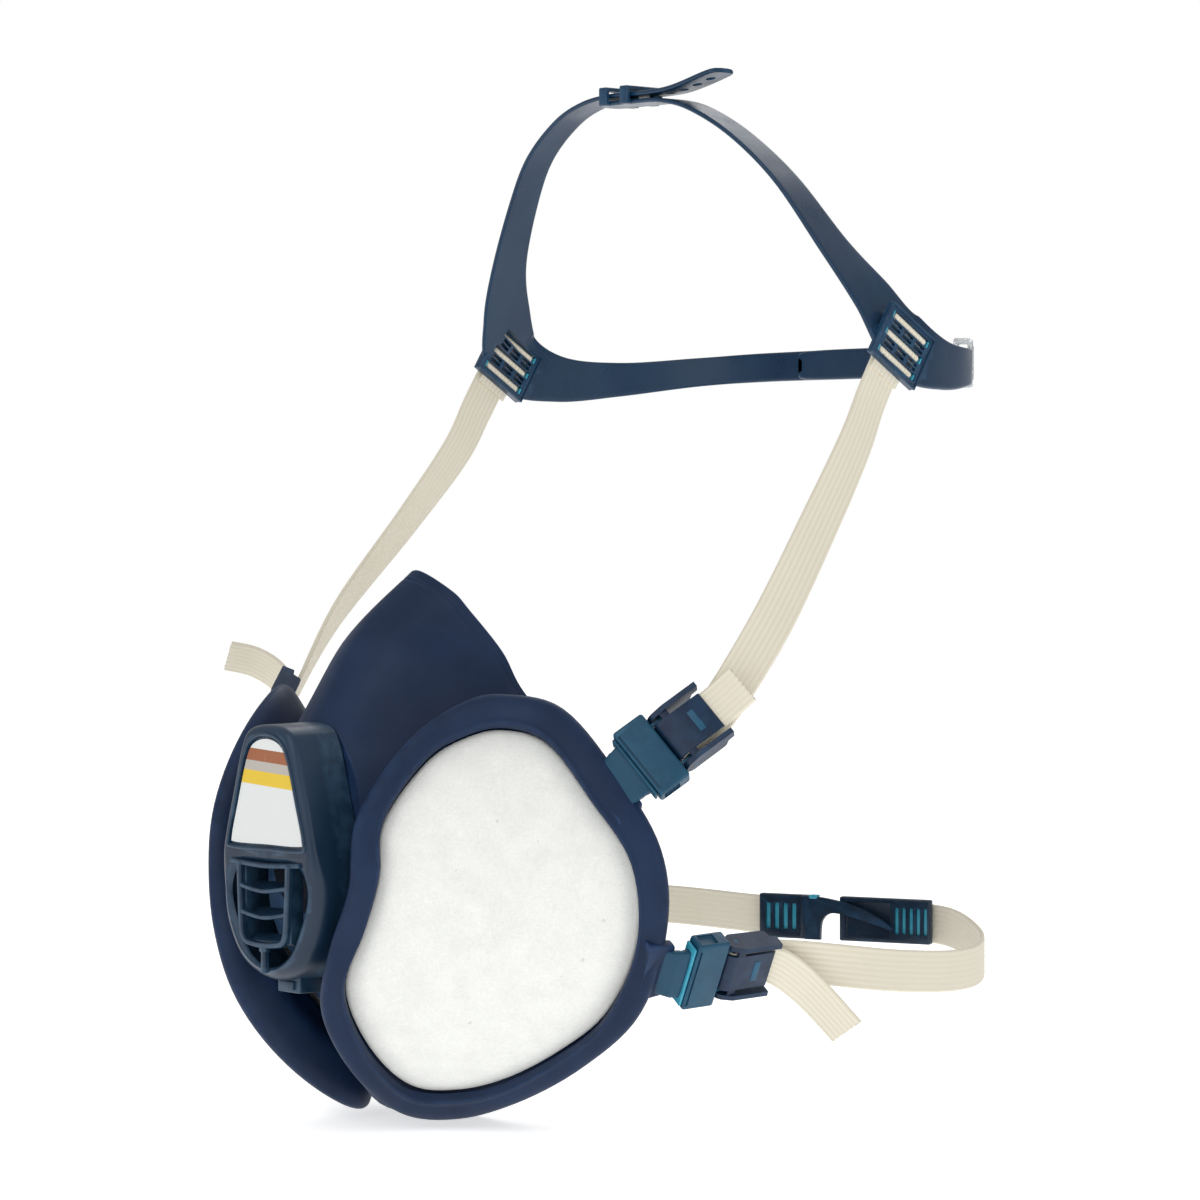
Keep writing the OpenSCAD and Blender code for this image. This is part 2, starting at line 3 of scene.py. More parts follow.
import bmesh
import bpy
import numpy as np
from mathutils import Matrix, Vector


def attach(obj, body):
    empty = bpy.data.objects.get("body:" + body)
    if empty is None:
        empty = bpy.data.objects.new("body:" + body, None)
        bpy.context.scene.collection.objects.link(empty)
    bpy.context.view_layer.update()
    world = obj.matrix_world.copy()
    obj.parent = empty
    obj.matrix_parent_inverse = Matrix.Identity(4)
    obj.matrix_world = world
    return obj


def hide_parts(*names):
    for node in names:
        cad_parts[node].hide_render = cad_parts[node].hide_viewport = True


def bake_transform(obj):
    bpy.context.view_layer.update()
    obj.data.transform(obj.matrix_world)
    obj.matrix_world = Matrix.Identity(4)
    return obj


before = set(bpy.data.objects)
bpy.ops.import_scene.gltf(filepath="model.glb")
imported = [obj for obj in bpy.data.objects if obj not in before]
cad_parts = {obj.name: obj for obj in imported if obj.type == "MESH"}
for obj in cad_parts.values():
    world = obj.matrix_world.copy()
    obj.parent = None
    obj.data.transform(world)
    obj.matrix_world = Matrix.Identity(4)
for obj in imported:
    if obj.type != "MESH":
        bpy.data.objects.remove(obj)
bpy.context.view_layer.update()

# Half-mask respirator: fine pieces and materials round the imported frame.
# Lengths and places below are millimetres in the part's own frame; MM turns them into metres.
MM = 0.001
# Each side's name and the sign of its X
SIDES = (("left", 1), ("right", -1))


# ---- Curves --------------------------------------------------------------


def unit(v):
    """The vector scaled to length 1."""
    v = np.asarray(v, float)
    return v / max(np.linalg.norm(v), 1e-9)


def curve(points, n, closed=False):
    """Catmull-Rom curve through points, with n steps between neighbours."""
    p = np.asarray(points, float)
    m = len(p)
    out = []
    for i in range(m if closed else m - 1):
        near = [p[(i + k) % m] if closed else p[min(max(i + k, 0), m - 1)] for k in (-1, 0, 1, 2)]
        a, b, c, d = near
        for t in np.arange(n) / n:
            out.append(b + 0.5 * t * (c - a + t * (2 * a - 5 * b + 4 * c - d + t * (3 * (b - c) + d - a))))
    if not closed:
        out.append(p[-1])
    return np.array(out)


def mirrored(half):
    """A half outline from top centre to bottom centre, completed by its mirror image in X."""
    half = np.asarray(half, float)
    back = half[-2:0:-1].copy()
    back[:, 0] *= -1
    return np.vstack([half, back])


def smooth(lo, hi, x):
    """Eased step: 0 at lo, 1 at hi."""
    t = np.clip((np.asarray(x, float) - lo) / (hi - lo), 0, 1)
    return t * t * (3 - 2 * t)


def ripple(p, size, seed=0):
    """Smooth noise of about -1 to 1 at points p, with features of about that size."""
    q = np.asarray(p, float) / size
    total = np.zeros(len(q))
    for k in range(1, 5):
        a = np.array([1.7 + k * 1.31 + seed, 2.9 - k * 0.83 + seed * 0.7, 1.1 + k * 1.97 - seed * 0.4])
        total += np.sin(q @ a * 2.1 + k * 2.4 + seed) / 4
    return total


# ---- Meshes --------------------------------------------------------------


def piece(name, points, faces, attributes=None):
    """A mesh object from points in millimetres, with its normals facing out."""
    mesh = bpy.data.meshes.new(name)
    mesh.from_pydata((np.asarray(points, float) * MM).tolist(), [], faces)
    for key, values in (attributes or {}).items():
        mesh.attributes.new(key, "FLOAT", "POINT").data.foreach_set("value", np.asarray(values, np.float32))
    obj = bpy.data.objects.new(name, mesh)
    bpy.context.scene.collection.objects.link(obj)
    face_out(obj)
    return obj


def face_out(obj):
    """Turns all faces outwards."""
    bm = bmesh.new()
    bm.from_mesh(obj.data)
    bmesh.ops.recalc_face_normals(bm, faces=bm.faces)
    if bm.calc_volume(signed=True) < 0:
        bmesh.ops.reverse_faces(bm, faces=bm.faces)
    bm.to_mesh(obj.data)
    bm.free()


def loft(name, rings, loop=False, attributes=None):
    """Skin over rings of equal length, each closed, capped at both ends unless it loops."""
    rings = [np.asarray(r, float) for r in rings]
    m, n = len(rings), len(rings[0])
    faces = []
    for j in range(m if loop else m - 1):
        r = ((j + 1) % m) * n
        faces += [(j * n + i, r + i, r + (i + 1) % n, j * n + (i + 1) % n) for i in range(n)]
    if not loop:
        faces += [tuple(range(n)), tuple((m - 1) * n + i for i in range(n - 1, -1, -1))]
    return piece(name, np.vstack(rings), faces, attributes)


def block(low, high, rounding=0.4, segments=3, name="block"):
    """A box with rounded edges between two corners."""
    bm = bmesh.new()
    bmesh.ops.create_cube(bm, size=1)
    size = np.subtract(high, low)
    middle = np.add(high, low) / 2
    for v in bm.verts:
        v.co = Vector((np.array(v.co) * size + middle) * MM)
    if rounding:
        bmesh.ops.bevel(bm, geom=bm.edges, offset=rounding * MM, segments=segments, profile=0.5,
                        affect="EDGES")
    mesh = bpy.data.meshes.new(name)
    bm.to_mesh(mesh)
    bm.free()
    obj = bpy.data.objects.new(name, mesh)
    bpy.context.scene.collection.objects.link(obj)
    return obj


def rod(radius, low, high, axis, at=(0, 0, 0), sides=48):
    """A round rod along X, Y or Z from low to high, through at."""
    angles = np.arange(sides) * 2 * math.pi / sides
    ring = np.zeros((sides, 3))
    ring[:, (axis + 1) % 3] = radius * np.cos(angles)
    ring[:, (axis + 2) % 3] = radius * np.sin(angles)
    along = np.eye(3)[axis]
    return loft("rod", [np.asarray(at) + ring + along * low, np.asarray(at) + ring + along * high])


def at_y(outline, y):
    """Ring of an XZ outline at one Y, or at a Y for each point."""
    outline = np.asarray(outline, float)
    return np.column_stack([outline[:, 0], np.broadcast_to(y, len(outline)), outline[:, 1]])


def prism(outline, y0, y1):
    """An XZ outline extruded along Y."""
    return loft("prism", [at_y(outline, y) for y in (y0, y1)])


def merge(obj, others, how="UNION", solver="EXACT"):
    """Adds solids to obj, or cuts them out of it, and applies the result."""
    for other in others:
        m = obj.modifiers.new("merge", "BOOLEAN")
        m.operation, m.object, m.solver = how, other, solver
        bpy.context.view_layer.update()
        made = bpy.data.meshes.new_from_object(obj.evaluated_get(bpy.context.evaluated_depsgraph_get()))
        obj.modifiers.clear()
        obj.data = made
        bpy.data.objects.remove(other)
    return obj


def cut(obj, cutters, solver="EXACT"):
    return merge(obj, cutters, "DIFFERENCE", solver)


def join(obj, others):
    """Puts other meshes into obj's own mesh."""
    bm = bmesh.new()
    bm.from_mesh(obj.data)
    for other in others:
        bm.from_mesh(other.data)
        bpy.data.objects.remove(other)
    bm.to_mesh(obj.data)
    bm.free()
    return obj


def put(obj, matrix):
    """Moves a mesh into a local frame, given in millimetres."""
    m = matrix.copy()
    m.translation *= MM
    obj.data.transform(m)
    return obj


def shade(obj, angle=38):
    """Smooth shading, with edges sharper than the angle kept crisp."""
    bm = bmesh.new()
    bm.from_mesh(obj.data)
    for f in bm.faces:
        f.smooth = True
    for e in bm.edges:
        e.smooth = e.calc_face_angle(0) < math.radians(angle)
    bm.to_mesh(obj.data)
    bm.free()


def soften(obj, width, angle=35, segments=2):
    """Rounds the edges that are sharper than the angle."""
    m = obj.modifiers.new("soften", "BEVEL")
    m.width, m.segments, m.limit_method = width * MM, segments, "ANGLE"
    m.angle_limit = math.radians(angle)
    m.harden_normals = True


def axes_at(origin, along, out):
    """A local frame: X along, Z out (made square to X), at origin."""
    x = unit(along)
    y = unit(np.cross(out, x))
    m = Matrix(np.column_stack([x, y, np.cross(x, y)]).tolist()).to_4x4()
    m.translation = Vector(origin)
    return m


MIRROR = Matrix.Scale(-1, 4, (1, 0, 0))


def to_side(obj, s):
    """Leaves a left piece as it is, and mirrors it for the right."""
    if s < 0:
        obj.data.transform(MIRROR)
        obj.data.flip_normals()
    return obj


def finish_piece(obj, material, body, replaces, angle=38):
    """Gives a piece its finish, ties it to its body and hides the CAD node that it replaces."""
    obj.data.materials.clear()
    obj.data.materials.append(material)
    shade(obj, angle)
    if body:
        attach(obj, body)
    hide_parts(replaces)
    return obj


# ---- Materials -----------------------------------------------------------


class Shader:
    """A procedural material, built up from nodes."""

    def __init__(self, name, **constants):
        self.material = bpy.data.materials.new(name)
        self.material.use_nodes = True
        self.tree = self.material.node_tree
        self.surface = self.tree.nodes["Principled BSDF"]
        for key, value in constants.items():
            self.surface.inputs[key.replace("_", " ")].default_value = value
        self.place = self.add("TexCoord").outputs["Object"]

    def add(self, kind, inputs=None, **settings):
        node = self.tree.nodes.new("ShaderNode" + kind)
        for key, value in settings.items():
            setattr(node, key, value)
        for key, value in (inputs or {}).items():
            if isinstance(value, bpy.types.NodeSocket):
                self.tree.links.new(value, node.inputs[key])
            else:
                node.inputs[key].default_value = value
        return node

    def math(self, operation, a, b=0.0, clamp=False):
        return self.add("Math", {0: a, 1: b}, operation=operation, use_clamp=clamp).outputs[0]

    def noise(self, scale, detail=3, stretch=(1, 1, 1), place=None):
        mapped = self.add("Mapping", {"Vector": place or self.place, "Scale": stretch}).outputs[0]
        return self.add("TexNoise", {"Vector": mapped, "Scale": scale, "Detail": detail}).outputs["Fac"]

    def cells(self, scale, feature="F1", stretch=(1, 1, 1)):
        mapped = self.add("Mapping", {"Vector": self.place, "Scale": stretch}).outputs[0]
        return self.add("TexVoronoi", {"Vector": mapped, "Scale": scale}, feature=feature).outputs["Distance"]

    def spread(self, value, lo, hi, to_lo=0.0, to_hi=1.0):
        inputs = {"Value": value, "From Min": lo, "From Max": hi, "To Min": to_lo, "To Max": to_hi}
        return self.add("MapRange", inputs, clamp=True).outputs[0]

    def mix(self, share, a, b):
        return self.add("Mix", {0: share, 6: a, 7: b}, data_type="RGBA").outputs[2]

    def attribute(self, name):
        return self.add("Attribute", attribute_name=name).outputs["Fac"]

    def edges(self, lo=0.52, hi=0.6):
        """1 on raised edges, where handling wears the surface."""
        return self.spread(self.add("NewGeometry").outputs["Pointiness"], lo, hi)

    def paint(self, colour=None, roughness=None, height=None, bump=0.5, depth=0.1):
        if colour is not None:
            self.tree.links.new(colour, self.surface.inputs["Base Color"])
        if roughness is not None:
            self.tree.links.new(roughness, self.surface.inputs["Roughness"])
        if height is not None:
            inputs = {"Height": height, "Strength": bump, "Distance": depth * MM}
            self.tree.links.new(self.add("Bump", inputs).outputs[0], self.surface.inputs["Normal"])
        return self.material


def linear(r, g, b):
    """Linear colour from 0-255 screen values."""
    return tuple(((c / 255 + 0.055) / 1.055) ** 2.4 if c > 10 else c / 255 / 12.92 for c in (r, g, b)) + (1,)


def rubber(name, base, pale, roughness=0.5, fine=900):
    """Matt moulded rubber: cloudy bloom, fine grain, and paler where edges are rubbed."""
    s = Shader(name, Specular_IOR_Level=0.24)
    bloom = s.spread(s.noise(38, 4), 0.42, 0.75, 0, 0.28)
    scuff = s.math("MULTIPLY", s.edges(0.505, 0.56), s.spread(s.noise(240, 5), 0.3, 0.6))
    specks = s.math("MULTIPLY", s.spread(s.noise(1400, 2), 0.68, 0.74), 0.12)
    share = s.math("MAXIMUM", s.math("ADD", bloom, specks), s.math("MULTIPLY", scuff, 0.75))
    rough = s.spread(s.noise(90, 4), 0.3, 0.7, roughness - 0.07, roughness + 0.09)
    grain = s.math("ADD", s.noise(fine, 4), s.math("MULTIPLY", s.noise(120, 3), 2.0))
    return s.paint(s.mix(share, base, pale), rough, grain, 0.22, 0.12)


def plastic(name, base, pale, roughness=0.3, coat=0.25, worn=0.6):
    """Moulded plastic: faint flow marks, a fine spark-eroded grain and paler handled edges."""
    s = Shader(name, Specular_IOR_Level=0.3, Coat_Weight=coat, Coat_Roughness=0.25)
    flow = s.spread(s.noise(50, 3, (1, 1, 0.35)), 0.35, 0.75, 0, 0.22)
    wear = s.math("MULTIPLY", s.edges(0.51, 0.58), s.spread(s.noise(300, 4), 0.35, 0.65, 0.2, worn))
    rough = s.spread(s.noise(160, 4), 0.3, 0.7, roughness - 0.05, roughness + 0.08)
    grain = s.math("ADD", s.noise(2600, 2), s.math("MULTIPLY", s.noise(200, 2), 1.5))
    return s.paint(s.mix(s.math("MAXIMUM", flow, wear), base, pale), rough, grain, 0.12, 0.05)


def elastic(name):
    """Ribbed woven elastic: warp ribs along the strap and fine wefts across it, with painted shade that
    darkens the colour where ribs, wefts and fibres dip.
    """
    s = Shader(name, Specular_IOR_Level=0.15, Sheen_Weight=0.12, Sheen_Roughness=0.6, Roughness=0.85)
    across, along = s.attribute("across"), s.attribute("along")
    rib = s.math("SINE", s.math("MULTIPLY", across, 2 * math.pi / RIB_PITCH))
    odd = s.math("SIGN", s.math("SINE", s.math("MULTIPLY", across, math.pi / RIB_PITCH)))
    turn = s.math("MULTIPLY", along, 2 * math.pi / WEFT_PITCH)
    weft = s.math("SINE", s.math("ADD", turn, s.math("MULTIPLY", odd, 1.5)))
    fibre = s.noise(1500, 3)
    threads = s.math("ADD", s.math("MULTIPLY", weft, 0.15), s.math("MULTIPLY", fibre, 0.4))
    height = s.math("ADD", s.math("MULTIPLY", rib, 0.7), threads)
    # Painted shade: the colour follows the rib and thread height, so the grooves are darker; the broad noise
    # adds random tone.
    groove_shade_and_tone = s.math("ADD", s.math("MULTIPLY", height, 0.3), s.math("MULTIPLY", s.noise(30, 2), 0.5))
    colour = s.mix(s.spread(groove_shade_and_tone, -0.3, 0.65), linear(206, 198, 178), linear(229, 223, 206))
    return s.paint(colour, None, height, 0.16, 0.05)


def fleece(name):
    """Felted white fibre web: fine crossing fibres with soft clumps."""
    s = Shader(name, Specular_IOR_Level=0.1, Sheen_Weight=0.3, Sheen_Roughness=0.8, Roughness=0.95)
    strands = [s.noise(700, 4, stretch) for stretch in ((4, 1, 1), (1, 1, 4), (1, 4, 2))]
    web = s.math("MAXIMUM", strands[0], s.math("MAXIMUM", strands[1], strands[2]))
    height = s.math("ADD", web, s.math("MULTIPLY", s.noise(160, 3), 0.5))
    colour = s.mix(s.spread(height, 0.6, 1.1), linear(220, 221, 217), linear(238, 239, 235))
    speck = s.math("MULTIPLY", s.spread(s.noise(420, 1), 0.79, 0.8), 0.25)
    return s.paint(s.mix(speck, colour, linear(120, 118, 112)), None, height, 0.5, 0.25)


def label_film(name):
    """Satin film with plain colour bands and nothing written on it."""
    s = Shader(name, Specular_IOR_Level=0.45, Coat_Weight=0.15, Coat_Roughness=0.3)
    split = s.add("SeparateXYZ", {0: s.place}).outputs
    level = s.math("ADD", split["Z"], s.math("MULTIPLY", split["X"], 0.06))
    colour = linear(218, 221, 220)
    for top, bottom, band in LABEL_BANDS:
        upper = s.math("LESS_THAN", level, top * MM)
        inside = s.math("MULTIPLY", upper, s.math("GREATER_THAN", level, bottom * MM))
        fleck = s.math("MULTIPLY", inside, s.spread(s.noise(900, 2), 0.2, 0.4, 0.9, 1))
        colour = s.mix(fleck, colour, linear(*band))
    rough = s.spread(s.noise(220, 4), 0.3, 0.7, 0.34, 0.46)
    return s.paint(colour, rough, s.noise(1500, 3), 0.05, 0.04)


def granules(name):
    """Packed black sorbent grains."""
    s = Shader(name, Specular_IOR_Level=0.4)
    grain = s.cells(900)
    colour = s.mix(s.spread(grain, 0.1, 0.7), linear(66, 66, 68), linear(16, 16, 18))
    rough = s.spread(s.noise(700, 2), 0.3, 0.7, 0.5, 0.9)
    return s.paint(colour, rough, s.math("SUBTRACT", 1.0, grain), 1.0, 0.6)


def clear(name):
    """Clear moulded plastic with faint haze and fine scratches."""
    s = Shader(name, Transmission_Weight=0.75, IOR=1.49, Base_Color=linear(236, 241, 244), Coat_Weight=0.2)
    haze = s.spread(s.noise(500, 5, (1, 6, 1)), 0.3, 0.7, 0.08, 0.26)
    return s.paint(None, haze, s.noise(400, 4), 0.15, 0.06)


RIB_PITCH = 1.35
WEFT_PITCH = 0.62
# Top, bottom and colour of each band
LABEL_BANDS = (
    (31.6, 28.6, (150, 86, 46)),
    (28.6, 26.2, (178, 172, 164)),
    (26.2, 22.8, (222, 187, 38)),
)
NAVY = rubber("navy_rubber", linear(12, 33, 62), linear(42, 68, 108))
FLAP = rubber("flap_rubber", linear(30, 34, 44), linear(58, 64, 78), 0.4, 1600)
PETROL = plastic("petrol_plastic", linear(14, 36, 58), linear(54, 86, 112), 0.36, 0.2)
BUCKLE = plastic("buckle_plastic", linear(7, 27, 52), linear(34, 66, 98), 0.4, 0.06)
MARK = plastic("mark_plastic", linear(14, 66, 96), linear(40, 100, 130), 0.4, 0.1)
TEAL = plastic("teal_plastic", linear(12, 60, 86), linear(42, 104, 132), 0.42, 0.06)
BRIGHT = plastic("bright_teal_plastic", linear(34, 134, 164), linear(90, 184, 202), 0.4, 0.15)
CRADLE = plastic("cradle_plastic", linear(8, 42, 70), linear(44, 84, 114), 0.3, 0.1)
CLASP = plastic("clasp_plastic", linear(8, 24, 40), linear(34, 66, 94), 0.35, 0.15)
SEAT = plastic("seat_plastic", linear(60, 100, 150), linear(110, 145, 185), 0.45, 0.05)
PALE = plastic("pale_plastic", linear(214, 216, 210), linear(236, 237, 232), 0.42, 0.05)
GRID = plastic("grid_plastic", linear(62, 84, 112), linear(100, 122, 150), 0.48, 0.05)
ELASTIC = elastic("elastic_webbing")
FLEECE = fleece("filter_fleece")
SORBENT = granules("sorbent_grains")
CLEAR = clear("clear_plastic")
LABEL = label_film("label_film")


# ---- Face piece ----------------------------------------------------------

FRONT_Y = -44
AXIS_Z = 5
SHELL = 2.4
VALVE_AT = (0, FRONT_Y, 4)
VALVE_BORE_R = 14
INLET_BORE_R = 12
INLET_BOSS_R = 15
INLET_SEAT_R = 15.2
INLET_SEAT_Z = 36.6
INLET_BOSS_Z = 42.6
# Each outline runs from the top of the mask to its chin
SEAL = mirrored([
    (0, -12, 75), (9, -8, 70), (15, -7, 65), (25, -5, 55), (31, -3, 45), (40, 6, 30),
    (50, 14, 12), (54, 17, -8), (50, 17, -28), (34, 11, -44), (20, 4, -57), (0, 4, -62),
])
CHEEK = mirrored([
    (0, -30, 60), (9, -27, 58), (15, -24, 54), (24, -18, 47), (32, -14, 38), (42, -8, 28),
    (47, -9, 12), (47, -9, -6), (43, -8, -24), (27, -3, -41), (13, -10, -54), (0, -24, -57),
])
FRONT = mirrored([
    (x, FRONT_Y, z) for x, z in (
        (0, 38), (5, 37), (9, 35), (12, 31), (15, 26), (17, 19), (18, 9), (17, -3), (14, -12),
        (10, -18), (6, -23), (0, -26))
])
# Stations on the outer skin, from the front edge to the seal; closer where it curves most
OUTER_STATIONS = (
    1.985, 1.95, 1.9, 1.82, 1.74, 1.65, 1.55, 1.45, 1.35, 1.25, 1.15, 1.05, 0.95, 0.85, 0.75, 0.65, 0.55,
    0.46, 0.38, 0.32, 0.27, 0.235, 0.22, 0.21, 0.2, 0.19, 0.18, 0.165, 0.14, 0.11, 0.08, 0.05, 0.025, 0.01,
)
INNER_STATIONS = (0.15, 0.25, 0.4, 0.55, 0.7, 0.85, 1, 1.15, 1.3, 1.45, 1.6, 1.75, 1.85)
# The rolled lip of the seal: how far in, and how far back
SEAL_ROLL = (
    (0, 0.3), (0.25, 0.55), (0.8, 0.66), (2, 0.5), (4, 0.2), (6.5, -0.1), (8.4, -0.35), (9, -0.6),
    (9.25, -1.2), (9.2, -2), (8.9, -2.5), (8, -2.9),
)
SKIN_STEPS = 200
RING_STEPS = 9
CREASE_AT = 0.2
CREASE_WIDTH = 0.011
CREASE_DEPTH = 0.4


def skin(w, sink=0.0):
    """Ring of the skin from the seal (0) over the cheeks (1) to the front (2), sunk towards the axis."""
    rows = [curve([SEAL[i], CHEEK[i], FRONT[i]], SKIN_STEPS) for i in range(len(SEAL))]
    at = min(int(round(w * SKIN_STEPS)), 2 * SKIN_STEPS)
    return toward_axis(np.array([r[at] for r in rows]), sink)


def toward_axis(p, d):
    """Points moved by d towards the axis, which runs along Y at AXIS_Z."""
    v = p * (1, 0, 1) - (0, 0, AXIS_Z)
    return p - v * np.minimum(1, d / np.maximum(np.linalg.norm(v, axis=1), 1))[:, None]


def inner_skin(w, d):
    """Ring of the inner skin, d inside the outer one."""
    return skin(w, d) + (0, 0.9 * d * w / 2 + 0.4 * d, 0)


def shrunk(outline, k, y):
    """Ring of an XZ outline at that Y, scaled by k about the axis."""
    return at_y((outline - (0, AXIS_Z)) * k + (0, AXIS_Z), y)


def facepiece():
    """Soft shell with a rolled seal, a shallow crease beside its upper part and three bored openings."""
    front = FRONT[:, [0, 2]]
    rings = [curve(shrunk(front, k, FRONT_Y), RING_STEPS, True) for k in (0.05, 0.5, 0.9)]
    for w in OUTER_STATIONS:
        ring = curve(skin(w), RING_STEPS, True)
        high = smooth(22, 34, ring[:, 2])
        dent = CREASE_DEPTH * math.exp(-(((w - CREASE_AT) / CREASE_WIDTH) ** 2)) * high
        rings.append(toward_axis(ring, dent))
    seal = curve(SEAL, RING_STEPS, True)
    rings += [toward_axis(seal, d) + (0, y, 0) for d, y in SEAL_ROLL]
    rings += [curve(inner_skin(w, SHELL), RING_STEPS, True) for w in INNER_STATIONS]
    rings += [curve(shrunk(front, k, FRONT_Y + SHELL), RING_STEPS, True) for k in (0.82, 0.4, 0.05)]
    obj = loft("facepiece_rubber", rings)
    bosses = []
    bores = [rod(VALVE_BORE_R, -6, 14, 1, VALVE_AT, 72)]
    for _, s in SIDES:
        bosses.append(to_side(put(rod(INLET_BOSS_R, INLET_SEAT_Z, INLET_BOSS_Z, 2, sides=72), INLET), s))
        bores.append(to_side(put(rod(INLET_BORE_R, 5, 60, 2, sides=72), INLET), s))
        bores.append(to_side(put(rod(INLET_SEAT_R, 10, INLET_SEAT_Z, 2, sides=72), INLET), s))
    merge(obj, bosses)
    cut(obj, bores)
    return finish_piece(obj, NAVY, "mask", "facepiece", 42)


# ---- Cartridges ----------------------------------------------------------

FACE_R = 75
FACE_AXIS = (12, 16, 3)
FACE_APEX = 15
# The rim's outer and inner outlines, along the panel and along the face's curve
FACE_OUTER = [
    (5, 61), (19, 57), (33, 39), (43, 21), (44.5, 2), (38, -21), (24, -38), (7, -53), (-8, -62),
    (-21, -60.5), (-32, -44), (-39.5, -22), (-37, -5), (-32, 11), (-30, 29), (-18, 48.5), (-5, 59),
]
FACE_INNER = [
    (4, 52), (15, 48), (26, 33), (36, 17), (37, -3), (29, -23), (17, -36), (3, -47), (-9, -51.5),
    (-20, -49.5), (-29, -34), (-33.5, -15), (-28, 1), (-24.5, 14), (-23.5, 28), (-14, 43), (-6, 49),
]
FACE_MID = np.array([3, 0])
CASE_DEPTH = 14
LUG_DROP = 2.9
# Where the filling meets the rim, between the inner (0) and outer (1) outlines
BED_EDGE = 0.21
PANEL = Matrix.Rotation(math.radians(45), 4, "Z")
INLET = PANEL @ Matrix.Translation((14, 0, 0)) @ Matrix.Rotation(math.radians(90), 4, "X")


def on_face(u, a, h):
    """Point of the filter face: u along the panel, a along its curve and h out of it."""
    t = (a - FACE_APEX) / FACE_R
    x, y, z = FACE_AXIS
    return np.column_stack([u + x, y - (FACE_R + h) * np.cos(t), z + (FACE_R + h) * np.sin(t)])


def face_ring(k, f, h, steps=7):
    """Ring between the rim's inner (0) and outer (1) outlines, scaled by f about the middle."""
    mixed = np.array(FACE_INNER) * (1 - k) + np.array(FACE_OUTER) * k
    q = FACE_MID + (curve(mixed, steps, True) - FACE_MID) * f
    return on_face(q[:, 0], q[:, 1], h)


def bed_f(h):
    """Scale of the case's inside at height h: its sides taper towards the back."""
    return 1 + 0.18 * h / CASE_DEPTH


def cartridge_case(side, s):
    """Moulded rubber case: soft rolled rim, crisp inner lip and tapering sides."""
    back = -CASE_DEPTH
    edge = -13.2
    profile = curve([
        (0.25, bed_f(back), back), (0.25, bed_f(-9), -9), (0.25, 1, -3.4), (0.2, 1, -2.8), (0.02, 1, -2.6),
        (0, 1, -2.1), (0, 1, -0.7), (0.015, 1, -0.15), (0.06, 1, 0.12), (0.13, 1, 0.1), (0.2, 1, 0.02),
        (0.4, 1, 0.3), (0.6, 1, 0.4), (0.8, 1, 0.15), (0.93, 1, -0.5), (0.99, 1, -1.5), (1.0, 1, -2.7),
        (0.985, 0.995, -4.4), (1, 0.965, -8), (1, 0.93, -11), (1, bed_f(edge), edge),
        (0.95, bed_f(back), back),
    ], 2, True)
    obj = loft("case_%s_rubber" % side, [face_ring(k, f, h) for k, f, h in profile], loop=True)
    put(obj, PANEL)
    lug = ((-15.5, 8.6, 2.0), (-13, 8.4, 1.9), (-10.5, 8, 1.8), (-8.6, 7.8, 1.7), (-8, 7.3, 1.4))
    for clip in (UPPER, LOWER):
        rings = [neck_ring(x, w, t, LUG_DROP, 40) for x, w, t in lug]
        merge(obj, [put(loft("lug", rings), axes_at(*clip))])
    return finish_piece(to_side(obj, s), NAVY, "mask", "cartridge_case_" + side, 50)


def squircle(a, w, t, power=0.35):
    """Two coordinates of a rounded rectangle of half sizes w and t."""
    c, d = np.cos(a), np.sin(a)
    return w * np.sign(c) * np.abs(c) ** power, t * np.sign(d) * np.abs(d) ** power


def neck_ring(x, w, t, drop, sides):
    """Rounded rectangle across a clip's frame at x, with half sizes w and t, lowered by drop."""
    a = np.arange(sides) * 2 * math.pi / sides
    return np.column_stack([np.full(sides, x), *squircle(a, w, t)]) - (0, 0, drop)


def bed(name, top, bottom, crown, edge, rough):
    """A curved slab filling the case's inner outline, crowned and with a soft edge."""
    upper = []
    for f in (0.02, 0.12, 0.24, 0.36, 0.48, 0.6, 0.7, 0.78, 0.84, 0.88, 0.915, 0.945, 0.97, 0.99):
        sag = edge * smooth(0.8, 1.0, f) ** 1.5
        upper.append((f, top + crown * (1 - f * f) - sag))
    upper.append((1.0, top - edge - (top - edge - bottom) * 0.35))
    lower = [(1.0, bottom + 0.3)] + [(f, bottom) for f in (0.985, 0.7, 0.35, 0.02)]
    rings = [face_ring(BED_EDGE, f * bed_f(top), h) for f, h in upper]
    rings += [face_ring(BED_EDGE, f * bed_f(bottom), h) for f, h in lower]
    for ring in rings:
        ring[:, 1] += rough * ripple(ring, 2.6) + rough * 0.6 * ripple(ring, 1.1, 3)
    return put(loft(name, rings), PANEL)


def filters(side, s):
    """The fleece pad and the grains behind it."""
    obj = to_side(bed("filter_fleece_" + side, -2.5, -4.6, 1.0, 1.0, 0.09), s)
    finish_piece(obj, FLEECE, "mask", "particulate_filter_" + side, 60)
    obj = to_side(bed("sorbent_" + side, -5.1, -11.4, 0, 0.2, 0.12), s)
    finish_piece(obj, SORBENT, "mask", "sorbent_bed_" + side, 60)


# ---- Exhalation valve cover ----------------------------------------------

COVER_BACK = FRONT_Y - 0.15
COVER_FACE = COVER_BACK - 15
COVER_WALL = 1.5
COVER = curve(mirrored([
    (0, 38), (7, 37), (10.5, 33), (14, 22), (18, 8), (19.5, -3), (17.5, -13), (11, -21.5), (0, -25),
]), 10, True)
VENT = curve(mirrored([(0, 4), (11, 3.5), (15, -2), (13.5, -9), (8, -18), (0, -21.5)]), 10, True)
LABEL_FRAME = curve(mirrored([
    (0, 35), (5.5, 33.5), (8.5, 29), (12, 18), (14.5, 9.5), (13, 8), (0, 8),
]), 8, True)
LOUVRE_TILT = 0.5


